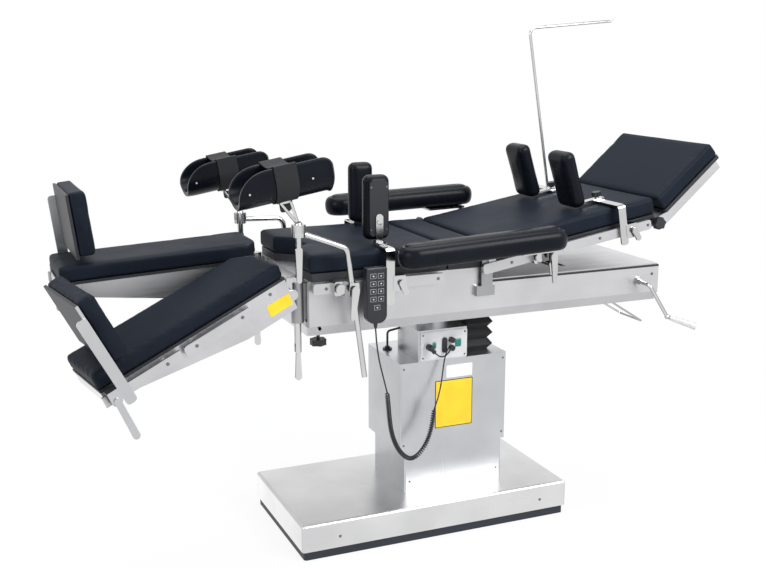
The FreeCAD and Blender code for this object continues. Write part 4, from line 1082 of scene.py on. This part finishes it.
@dataclass
class LegShell:
    """Moulded half pipe that a leg lies in, with a flared rim and a sloping foot end."""

    length: float = 0.262
    radius: float = 0.0565
    wall: float = 0.0135
    lip: float = 0.036
    slope: float = 0.085
    corner: float = 0.028
    flare: float = 0.0055
    rim_run: float = 0.016
    tip_run: float = 0.03
    tuck: float = 0.003
    foot_wrap: float = 0.45
    knee_wrap: float = 0.82
    along: int = 34
    across: int = 26

    def reach(self, x: float) -> float:
        """Share of the full wrap that the wall has at a place along the pipe."""
        low = (x + self.length / 2) / self.slope
        high = (self.length / 2 - x) / self.corner
        share = 1.0
        if low < 1.0:
            least = self.foot_wrap
            share = least + (1 - least) * math.sqrt(max(0.0, 1 - (1 - low) ** 2))
        if high < 1.0:
            least = self.knee_wrap
            share = least + (1 - least) * math.sqrt(max(0.0, 1 - (1 - high) ** 2))
        return share

    def point(self, x: float, share: float) -> Vector:
        """Point of the wall's middle layer.

        Args:
            x: Place along the pipe.
            share: Place across, from -1 at one lip to 1 at the other.

        Returns:
            The point.
        """
        rim = max(0.0, 1 - (self.length / 2 - x) / self.rim_run)
        tip = max(0.0, 1 - (x + self.length / 2) / self.tip_run)
        radius = self.radius + self.flare * rim * rim - self.tuck * tip * tip
        quarter = radius * math.pi / 2
        run = share * (quarter + self.lip) * self.reach(x)
        if abs(run) < quarter:
            return Vector((x, radius * math.sin(run / radius), -radius * math.cos(run / radius)))
        return Vector((x, math.copysign(radius, run), abs(run) - quarter))

    def build(self, place: Matrix) -> Loose:
        """Builds the middle layer of the wall.

        Args:
            place: Where the pipe's axis lies.

        Returns:
            An open sheet, to be thickened.
        """
        sheet = bmesh.new()
        rows = []
        for i in range(self.along + 1):
            x = -self.length / 2 * math.cos(math.pi * i / self.along)
            shares = [-1 + 2 * k / self.across for k in range(self.across + 1)]
            rows.append([sheet.verts.new(self.point(x, share)) for share in shares])
        for low, high in zip(rows, rows[1:]):
            for k in range(self.across):
                sheet.faces.new((low[k], low[k + 1], high[k + 1], high[k]))
        bmesh.ops.transform(sheet, matrix=place, verts=sheet.verts)
        return sheet

    def make(self, name: str, place: Matrix, material: Material) -> Thing:
        """Thickens and rounds the wall.

        Args:
            name: The piece's name.
            place: Where the pipe's axis lies.
            material: Its finish.

        Returns:
            The piece.
        """
        piece = as_object(self.build(place), name, material)
        thick = piece.modifiers.new("thick", "SOLIDIFY")
        thick.thickness = self.wall
        thick.offset = 0.0
        soft = piece.modifiers.new("soft", "SUBSURF")
        soft.levels = soft.render_levels = 2
        bake(piece)
        return smooth(piece, SMOOTH_ALL)


# ---------------------------------------------------------------- places of the moving sections


def rotation(axis: str, degrees: float, about: Vector) -> Matrix:
    """Turn about an axis through a point."""
    shift = Matrix.Translation(about)
    return shift @ Matrix.Rotation(math.radians(degrees), 4, axis) @ shift.inverted()


@dataclass(frozen=True)
class LegPlace:
    """Rest place of one leg section, from a level section drawn on the far side."""

    side: str
    hinge: Triple = (-0.47, 0.0, 0.806)
    spindle: tuple[float, float] = (-0.44, 0.2)

    @property
    def sign(self) -> float:
        """Sign of Y on this side."""
        return SIDES[self.side]

    def matrix(self) -> Matrix:
        """Transform from the level far-side drawing to the rest place."""
        yaw, pitch = {"near": (9.0, 24.0), "far": (0.0, 2.8)}[self.side]
        post = Vector((self.spindle[0], self.sign * self.spindle[1], 0.0))
        flip = Matrix.Diagonal((1.0, self.sign, 1.0, 1.0))
        tilt = rotation("Y", -pitch, Vector(self.hinge))
        return rotation("Z", -self.sign * yaw, post) @ tilt @ flip

    def spot(self, x: float, y: float, z: float) -> Vector:
        """Point of the level drawing at its rest place."""
        return self.matrix() @ Vector((x, y, z))

    def way(self, x: float, y: float, z: float) -> Vector:
        """Direction of the level drawing at its rest place."""
        return (self.matrix().to_3x3() @ Vector((x, y, z))).normalized()

    def level(self, point: Vector) -> Vector:
        """Place of a point in the level drawing."""
        return self.matrix().inverted() @ point


BACK_PLACE = Matrix.Translation((0.143, 0.0, 0.903)) @ Matrix.Rotation(math.radians(-9.5), 4, "Y")
HEAD_PLACE = (
    BACK_PLACE
    @ Matrix.Translation((0.5916, 0.0, -0.0696))
    @ Matrix.Rotation(math.radians(-31.2), 4, "Y")
)


def spot_on(place: Matrix, x: float, y: float, z: float) -> Vector:
    """Point of a section's own drawing at its rest place."""
    return place @ Vector((x, y, z))


def way_on(place: Matrix, x: float, y: float, z: float) -> Vector:
    """Direction of a section's own drawing at its rest place."""
    return (place.to_3x3() @ Vector((x, y, z))).normalized()


# ---------------------------------------------------------------- sub-assemblies

Zone = tuple[Material, Callable[[Vector], bool]]


@dataclass
class Assembly:
    """What every sub-assembly can do with its CAD nodes and its own pieces."""

    paint: Finishes
    screw_height: ClassVar[float] = 0.0014

    def finish(self, material: Material, *nodes: str) -> None:
        """Gives CAD nodes that stay in view one finish.

        Args:
            material: The finish.
            *nodes: Names of the nodes.
        """
        for node in nodes:
            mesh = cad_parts[node].data
            mesh.materials.clear()
            mesh.materials.append(material)

    def own(
        self, piece: Thing, body: str, slot: str, *nodes: str
    ) -> Thing:
        """Puts a piece on its body and reports it.

        Args:
            piece: The finished piece.
            body: CAD body that it rides on.
            slot: Not used.
            *nodes: CAD nodes that it stands for.

        Returns:
            The piece.
        """
        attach(piece, body)
        if nodes:
            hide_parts(*nodes)
        LOG.info("%s: %d faces", piece.name, len(piece.data.polygons))
        return piece

    def zoned(
        self,
        node: str,
        name: str,
        body: str,
        slot: str,
        material: Material,
        zones: tuple[Zone, ...] = (),
        island: int = 0,
    ) -> Thing:
        """Copies one solid of a CAD node, with other finishes on some of its zones.

        Args:
            node: The CAD node.
            name: The piece's name.
            body: CAD body that it rides on.
            slot: Passed on to own.
            material: Finish outside every zone.
            zones: Finish of each zone, with the test that a face's centre passes there.
            island: Which solid of the node, largest first.

        Returns:
            The piece.
        """
        piece = as_object(solid(node, island), name, material)
        for zone, _ in zones:
            piece.data.materials.append(zone)
        for face in piece.data.polygons:
            for index, (_, inside) in enumerate(zones, 1):
                if inside(face.center):
                    face.material_index = index
        smooth(piece)
        return self.own(piece, body, slot, node)

    def blank_plate(
        self,
        name: str,
        body: str,
        place: Matrix,
        size: tuple[float, float],
        material: Material,
        border: bool,
    ) -> None:
        """Sticks a plain plate with nothing on it to a flat face.

        Args:
            name: The piece's name.
            body: CAD body that it rides on.
            place: Where its middle lies, with +Z outward.
            size: Its length and height.
            material: Its finish.
            border: Whether a dark rim shows round it.
        """
        thick, edge, corner, rim = 0.0006, 0.0002, 0.002, 0.0025
        layers = [(name, size, corner, thick, material)]
        if border:
            wide = (size[0] + 2 * rim, size[1] + 2 * rim)
            layers.append((name + "_rim", wide, 0.003, thick / 2, self.paint.black))
        for title, area, radius, lift, finish in layers:
            plate = rounded_slab((*area, thick), radius, edge)
            bmesh.ops.translate(plate, vec=(0, 0, lift), verts=plate.verts)
            bmesh.ops.transform(plate, matrix=place, verts=plate.verts)
            bmesh.ops.recalc_face_normals(plate, faces=plate.faces)
            self.own(smooth(as_object(plate, title, finish)), body, "black_plastic")

    def screws(
        self, name: str, body: str, spots: Spots, radius: float = 0.0045
    ) -> None:
        """Sets small steel screws on spots."""
        heads = Stamps(Stamp.HEAD, self.paint.screw)
        self.own(heads.make(name, spots, (radius, radius, self.screw_height)), body, "polished_rod")


@dataclass
class Pedestal(Assembly):
    """Base, column and the lift inside it."""

    front: float = -0.13
    head_screws: tuple[tuple[float, ...], ...] = ((-0.08, 0.262), (0.27, 0.515))
    foot_screws: tuple[float, float, float, float] = (-0.055, 0.25, -0.12, 0.145)
    base_screws: tuple[float, float, float, float] = (-0.33, 0.35, -0.233, 0.062)

    def build(self) -> None:
        """Dresses the covers and adds their screws and blank plates."""
        paint = self.paint
        self.finish(paint.plinth, "base_plinth")
        self.finish(paint.base_sheet, "base_cover")
        self.finish(paint.sheet_z, "column_cover_lower", "column_cover_upper")
        self.finish(paint.cast, "lift_tube", "tilt_cross")
        self.finish(paint.bright, "lift_ram")
        self.finish(paint.rubber, "tilt_bellows")
        for name, (left, right, y, z), radius in (
            ("base_screws", self.base_screws, 0.0045),
            ("column_foot_screws", self.foot_screws, 0.0035),
        ):
            spots = [(Vector((x, y, z)), NEAR_WAY) for x in (left, right)]
            self.screws(name, "base", spots, radius)
        across, heights = self.head_screws
        spots = [(Vector((x, self.front, z)), NEAR_WAY) for x in across for z in heights]
        self.screws("column_head_screws", "column", spots, 0.0035)
        turn = turn_to(NEAR_WAY, UP).to_4x4()
        for name, (x, z), size, material, border in (
            ("column_plate", (0.0905, 0.389), (0.124, 0.148), paint.yellow, True),
            ("column_small_plate", (0.108, 0.4925), (0.09, 0.04), paint.white_plate, False),
        ):
            place = Matrix.Translation((x, self.front, z)) @ turn
            self.blank_plate(name, "column", place, size, material, border)


@dataclass
class ControlBox(Assembly):
    """Box on the column head, with the switch panel."""

    front: float = -0.133
    inlet: tuple[float, float, float, float] = (0.0455, 0.0625, 0.555, 0.605)
    fuses: tuple[tuple[float, float], ...] = ((0.077, 0.595), (0.077, 0.570))
    cap: float = 0.0096
    across: tuple[float, float] = (-0.018, 0.124)
    heights: tuple[float, float] = (0.544, 0.616)

    def is_black(self, point: Vector) -> bool:
        """Whether a face of the panel belongs to the inlet or a fuse cap."""
        if point.y > self.front - 0.0004:
            return False
        x0, x1, z0, z1 = self.inlet
        if x0 < point.x < x1 and z0 < point.z < z1:
            return True
        return any(math.hypot(point.x - x, point.z - z) < self.cap for x, z in self.fuses)

    def build(self) -> None:
        """Dresses the box, its panel, switches and plug."""
        paint = self.paint
        self.finish(paint.sheet_x, "control_box")
        self.finish(paint.teal, "rocker_left", "rocker_right")
        black = ((paint.black, self.is_black),)
        self.zoned("control_panel", "switch_panel", "column", "box", paint.pale_paint, black)
        self.zoned("control_panel", "handset_plug", "column", "box", paint.black, island=1)
        self.zoned("control_panel", "box_lead", "column", "box", paint.black, island=2)
        corners = [
            (Vector((x, self.front, z)), NEAR_WAY) for x in self.across for z in self.heights
        ]
        self.screws("panel_screws", "column", corners, 0.003)


@dataclass
class Beam(Assembly):
    """Beam housing with its deck, brackets, crank, knob and bail."""

    side: float = 0.23

    def build(self) -> None:
        """Dresses the housing and what is fixed to it or turns in it."""
        paint = self.paint
        self.finish(paint.pale_sheet, "beam_housing", "seat_rails")
        self.finish(paint.rubber, "beam_seal")
        self.finish(paint.dark_board, "seat_board", "kidney_lift")
        self.finish(paint.cast, "table_brackets")
        self.finish(paint.bright, "beam_fittings", "seat_clamps", "crank_arm", "wire_bail")
        self.finish(paint.white_grip, "crank_grip")
        self.finish(paint.black, "beam_lock_knob")
        spots = []
        for sign in SIDES.values():
            way = Vector((0.0, sign, 0.0))
            for x in (-0.374, -0.03):
                spots.append((Vector((x, sign * 0.258, 0.82)), way))
            for x in (-0.385, -0.385, 0.74):
                z = 0.70 if x < 0 else 0.765
                spots.append((Vector((x, sign * self.side, z)), way))
        self.screws("beam_screws", "beam", spots, 0.005)


@dataclass
class Deck(Assembly):
    """Seat, kidney, back and head cushions with the frames under them."""

    def build(self) -> None:
        """Builds the four cushions and dresses the frames."""
        paint = self.paint
        for name, node, body in (
            ("seat_cushion", "seat_pad", "beam"),
            ("kidney_cushion", "kidney_pad", "kidney_bridge"),
            ("back_cushion", "back_pad", "back"),
            ("head_cushion", "head_pad", "head"),
        ):
            Cushion(name, node, body, paint.cover).make()
        self.finish(paint.black, "head_lock_knob")
        self.finish(paint.bright, "back_clamps", "screen_rod")
        slot = "brushed_cover"
        self.zoned("back_frame", "back_board", "back", slot, paint.dark_board)
        for index in range(1, 5):
            name = f"back_bar_{index}"
            self.zoned("back_frame", name, "back", slot, paint.pale_sheet, island=index)
        self.zoned("head_frame", "head_tray", "head", slot, paint.pale_sheet)
        self.zoned("head_frame", "head_board", "head", slot, paint.dark_board, island=1)
        spots = []
        for sign in SIDES.values():
            way = way_on(BACK_PLACE, 0, sign, 0)
            for x in (0.059, 0.37, 0.548):
                spots.append((spot_on(BACK_PLACE, x, sign * 0.258, -0.065), way))
        self.screws("back_rail_screws", "back", spots, 0.005)


@dataclass
class LegSection(Assembly):
    """One leg section with its cushion, channel, levers and foot board."""

    side: str = "near"
    channel_face: float = 0.235
    board_low: float = 0.8597
    foot_board_edge: float = 0.2835
    grip_start: float = -0.957

    def build(self) -> None:
        """Builds the cushions and dresses the metal of one leg."""
        paint, side = self.paint, self.side
        place = LegPlace(side)
        leg, foot = f"leg_{side}", f"foot_{side}"
        Cushion(f"leg_cushion_{side}", f"leg_pad_{side}", leg, paint.cover).make()
        Cushion(f"foot_cushion_{side}", f"foot_pad_{side}", foot, paint.cover).make()
        slot, node = "brushed_cover", f"leg_frame_{side}"
        self.zoned(node, f"leg_channel_{side}", leg, slot, paint.pale_sheet)
        self.zoned(node, f"leg_board_{side}", leg, slot, paint.dark_board, island=1)
        self.finish(paint.bright, f"leg_spindle_{side}", f"leg_lever_{side}")
        release = f"leg_release_{side}"
        grip = ((paint.black, lambda point: place.level(point).x < self.grip_start),)
        name = f"release_lever_{side}"
        self.zoned(release, name, release, "polished_rod", paint.bright, grip)
        board = ((paint.dark_board, lambda point: place.level(point).y < self.foot_board_edge),)
        self.zoned(f"foot_frame_{side}", f"foot_board_{side}", foot, slot, paint.sheet_x, board)
        outward = place.way(0, 1, 0)
        spots = [(place.spot(-0.53, self.channel_face, 0.845), outward)]
        spots += [(place.spot(x, 0.258, 0.8407), outward) for x in (-0.635, -0.78, -0.87, -1.01)]
        self.screws(f"leg_screws_{side}", leg, spots, 0.005)
        if side == "near":
            turn = turn_to(outward, place.way(0, 0, 1)).to_4x4()
            at = Matrix.Translation(place.spot(-0.518, self.channel_face, 0.803)) @ turn
            self.blank_plate("leg_plate", leg, at, (0.074, 0.034), paint.yellow, False)


@dataclass
class Crutch(Assembly):
    """One leg crutch: rod, knurled collar and the moulded shell with its strap."""

    side: str = "near"
    radius: float = 0.064
    lip: float = 0.04
    pitch: float = 10.0
    strap_width: float = 0.062
    strap_thick: float = 0.0022
    strap_sag: float = 0.012
    strap_gap: float = 0.0012
    collar: Triple = (0.019, 0.034, 0.0012)

    def collar_top(self) -> Vector:
        """Middle of the collar's upper face."""
        height = {"near": 1.011, "far": 0.962}[self.side]
        return Vector((-0.462, SIDES[self.side] * 0.286, height))

    def shell_place(self) -> Matrix:
        """Where the shell's axis lies."""
        rise = {"near": 0.130, "far": 0.142}[self.side]
        at = self.collar_top() + Vector((-0.05, 0.0, rise))
        return Matrix.Translation(at) @ Matrix.Rotation(math.radians(-self.pitch), 4, "Y")

    def strap_line(self, away: float) -> list[tuple[float, float]]:
        """Outline of the strap round the shell at a distance from its outer face.

        Args:
            away: Distance from the shell.

        Returns:
            Points across the shell, all the way round.
        """
        reach = self.radius + away
        line = [(reach, self.lip)]
        around, over = 24, 12
        for i in range(around + 1):
            a = -math.pi * i / around
            line.append((reach * math.cos(a), reach * math.sin(a)))
        line.append((-reach, self.lip))
        for i in range(1, over):
            t = i / over
            sag = self.strap_sag * math.sin(math.pi * t)
            line.append((-reach + 2 * reach * t, self.lip + away - sag))
        return line

    def strap(self) -> Thing:
        """Builds the strap as a closed band round the shell."""
        outer = self.strap_line(self.strap_gap + self.strap_thick)
        inner = self.strap_line(self.strap_gap)
        paint_reflection_bands = bmesh.new()
        half = self.strap_width / 2
        rings = []
        for line, x in ((inner, -half), (outer, -half), (outer, half), (inner, half)):
            rings.append([paint_reflection_bands.verts.new((x, y, z)) for y, z in line])
        count = len(outer)
        for k in range(4):
            a, b = rings[k], rings[(k + 1) % 4]
            for i in range(count):
                j = (i + 1) % count
                paint_reflection_bands.faces.new((a[i], a[j], b[j], b[i]))
        bmesh.ops.recalc_face_normals(paint_reflection_bands, faces=paint_reflection_bands.faces)
        tab = rounded_slab((0.03, 0.034, 0.004), 0.006, 0.001)
        put(tab, Vector((0.0, 0.0, -self.radius - 0.014)), turn_to(-NEAR_WAY, UP))
        bmesh.ops.recalc_face_normals(tab, faces=tab.faces)
        paint_reflection_bands = merge([paint_reflection_bands, tab])
        bmesh.ops.transform(paint_reflection_bands, matrix=self.shell_place(), verts=paint_reflection_bands.verts)
        return smooth(as_object(paint_reflection_bands, f"crutch_strap_{self.side}", self.paint.strap), 50.0)

    def rivets(self) -> Thing:
        """Builds the small studs in the wall of the shell."""
        place = self.shell_place()
        spots = []
        for sign in (-1, 1):
            for x in (-0.105, 0.07):
                at = place @ Vector((x, sign * (self.radius - 0.0005), -0.004 - 0.12 * abs(x)))
                spots.append((at, (place.to_3x3() @ Vector((0, sign, 0))).normalized()))
        stamps = Stamps(Stamp.HEAD, self.paint.bright)
        return stamps.make(f"crutch_rivets_{self.side}", spots, (0.0028, 0.0028, 0.0008))

    def knurls(self) -> Thing:
        """Builds the ribs round the collar."""
        radius, height, rib = self.collar
        top = self.collar_top()
        spots = []
        count = 36
        for i in range(count):
            a = math.tau * i / count
            way = Vector((math.cos(a), math.sin(a), 0.0))
            spots.append((top + way * radius - Vector((0, 0, height * 0.36)), way))
        stamps = Stamps(Stamp.BLOCK, self.paint.bright, UP)
        return stamps.make(f"collar_knurls_{self.side}", spots, (height * 0.62, rib * 1.5, rib))

    def build(self) -> None:
        """Builds the shell, fork, strap and collar of one crutch."""
        paint, side = self.paint, self.side
        node, body = f"crutch_trough_{side}", f"crutch_{side}"
        self.finish(paint.bright, f"crutch_rod_{side}")
        shell = LegShell().make(f"crutch_shell_{side}", self.shell_place(), paint.moulded)
        self.own(shell, body, "cushion", node)
        self.own(self.rivets(), body, "cushion")
        self.zoned(node, f"crutch_fork_{side}", body, "cushion", paint.bright, island=1)
        self.own(self.strap(), body, "cushion")
        self.own(self.knurls(), f"crutch_post_{side}", "polished_rod")


@dataclass
class ArmRest(Assembly):
    """One long moulded arm rest on its post."""

    side: str = "near"

    def place(self) -> Matrix:
        """Where the middle of the pad lies."""
        x, tilt = {"near": (0.08, 2.5), "far": (0.11, 1.5)}[self.side]
        z = {"near": 0.919, "far": 0.966}[self.side]
        at = Matrix.Translation((x, SIDES[self.side] * 0.332, z))
        return at @ Matrix.Rotation(math.radians(-tilt), 4, "Y")

    def build(self) -> None:
        """Builds the moulded pad and the metal under it."""
        paint, side = self.paint, self.side
        node, body = f"arm_rest_{side}", f"arm_rest_{side}"
        mesh = StadiumPad(0.535, 0.098).build(self.place())
        piece = as_object(mesh, f"arm_pad_{side}", paint.moulded)
        soft = piece.modifiers.new("soft", "SUBSURF")
        soft.levels = soft.render_levels = 1
        bake(piece)
        self.own(smooth(piece, SMOOTH_ALL), body, "cushion", node)
        self.zoned(node, f"arm_post_{side}", body, "cushion", paint.bright, island=1)


@dataclass
class Support(Assembly):
    """One shoulder or side support: a thick pad on a metal foot."""

    side: str = "near"
    kind: str = "shoulder"
    knob_x: float = 0.452
    knob_half: float = 0.0165
    foot_top: float = 0.0295
    foot_end: float = 0.165
    panel_back: float = 0.1864
    panel_low: float = 0.932
    panel_screws: tuple[tuple[float, ...], ...] = ((-0.024, 0.024), (0.962, 1.085))

    def build(self) -> None:
        """Builds the pad, its metal and its screws."""
        paint = self.paint
        node, body = f"{self.kind}_support_{self.side}", f"{self.kind}_{self.side}"
        name = f"{self.kind}_pad_{self.side}"
        Cushion(name, node, body, paint.moulded, voxel=0.005, fill=0.9, flat_back=False).make()

        def is_knob(point: Vector) -> bool:
            """Whether a face belongs to the clamping knob on the foot."""
            own = BACK_PLACE.inverted() @ point
            beside = abs(own.x - self.knob_x) < self.knob_half
            return beside and own.z > self.foot_top and abs(own.y) < self.foot_end

        def is_panel(point: Vector) -> bool:
            """Whether a face belongs to the panel behind a side pad."""
            return abs(point.y) < self.panel_back and point.z > self.panel_low

        test = is_knob if self.kind == "shoulder" else is_panel
        name = f"{self.kind}_foot_{self.side}"
        self.zoned(node, name, body, "cushion", paint.bright, ((paint.black, test),), 1)
        if self.kind == "side":
            self.back_panel(body)

    def back_panel(self, body: str) -> None:
        """Adds the four screws, the slotted bar and the two knobs behind a side pad.

        Args:
            body: CAD body of this support.
        """
        sign = SIDES[self.side]
        x = {"near": -0.185, "far": -0.105}[self.side]
        way = Vector((0.0, sign, 0.0))
        across, heights = self.panel_screws
        corners = [(x + dx, sign * 0.186, z) for dx in across for z in heights]
        spots = [(Vector(at), way) for at in corners]
        self.screws(f"side_screws_{self.side}", body, spots, 0.003)
        bar = rounded_slab((0.021, 0.078, 0.003), 0.0104, 0.0006)
        slot = rounded_slab((0.008, 0.05, 0.0008), 0.0039, 0.0002)
        clamp = lathe([(0.0, 0.0), (0.0075, 0.0), (0.008, 0.001), (0.008, 0.005), (0.0, 0.0055)])
        low, high = [(0.0, 0.0), (0.012, 0.0), (0.013, 0.002)], [(0.011, 0.012), (0.0, 0.012)]
        knob = lathe([*low, (0.013, 0.010), *high])
        outward, upright = turn_to(way, UP), Matrix.Identity(3)
        bright, black = (self.paint.bright, "cushion"), (self.paint.black, "black_plastic")
        for name, part, y, z, turn, (material, finish_slot) in (
            ("bar", bar, 0.1879, 0.969, outward, bright),
            ("slot", slot, 0.1896, 0.975, outward, black),
            ("clamp", clamp, 0.1895, 0.984, outward, bright),
            ("knob", knob, 0.176, 0.9175, upright, black),
        ):
            put(part, Vector((x, sign * y, z)), turn)
            piece = smooth(as_object(part, f"side_{name}_{self.side}", material))
            self.own(piece, body, finish_slot)


@dataclass
class Handset(Assembly):
    """Hand control with its keys, hung on the near rail."""

    middle: tuple[float, float] = (-0.238, 0.803)
    face: float = -0.2975
    column_gap: float = 0.023
    row_gap: float = 0.022
    key: Triple = (0.0155, 0.0125, 0.0016)

    def spots(self) -> Spots:
        """Places of the eight keys in two columns and of the one below them."""
        x, z = self.middle
        found = []
        for row in range(4):
            for side in (-0.5, 0.5):
                at = (x + side * self.column_gap, self.face, z + 0.05 - row * self.row_gap)
                found.append((Vector(at), NEAR_WAY))
        found.append((Vector((x, self.face, z + 0.05 - 4.1 * self.row_gap)), NEAR_WAY))
        return found

    def build(self) -> None:
        """Builds the case, keys and hook."""
        paint = self.paint
        self.zoned("handset", "handset_case", "beam", "black_plastic", paint.black)
        self.zoned("handset", "handset_hook", "beam", "black_plastic", paint.bright, island=1)
        wide, tall, thick = self.key
        rim = 0.0016
        rim_size = (tall + rim, wide + rim, thick * 0.5)
        tops = [(at + way * thick * 0.9, way) for at, way in self.spots()]
        mark = (0.0024, 0.0024, 0.0003)
        for name, stamp, material, spots, size, sides in (
            ("key_rims", Stamp.BLOCK, paint.ink, self.spots(), rim_size, 6),
            ("keys", Stamp.BLOCK, paint.rubber, self.spots(), (tall, wide, thick), 6),
            ("key_marks", Stamp.HEAD, paint.ink, tops, mark, 3),
        ):
            piece = Stamps(stamp, material, UP).make(name, spots, size, sides)
            self.own(piece, "beam", "black_plastic")


def main() -> None:
    """Builds the scene in order, camera and cord first."""
    logging.basicConfig(level=logging.INFO, format="%(message)s")
    studio = Studio()
    studio.camera()
    paint = Finishes()
    HandsetCord().make(paint.black)
    studio.light()
    for assembly in (Pedestal(paint), ControlBox(paint), Beam(paint), Deck(paint), Handset(paint)):
        assembly.build()
    for side in SIDES:
        LegSection(paint, side).build()
        Crutch(paint, side).build()
        ArmRest(paint, side).build()
        Support(paint, side, "shoulder").build()
        Support(paint, side, "side").build()


if __name__ == "__main__":
    main()
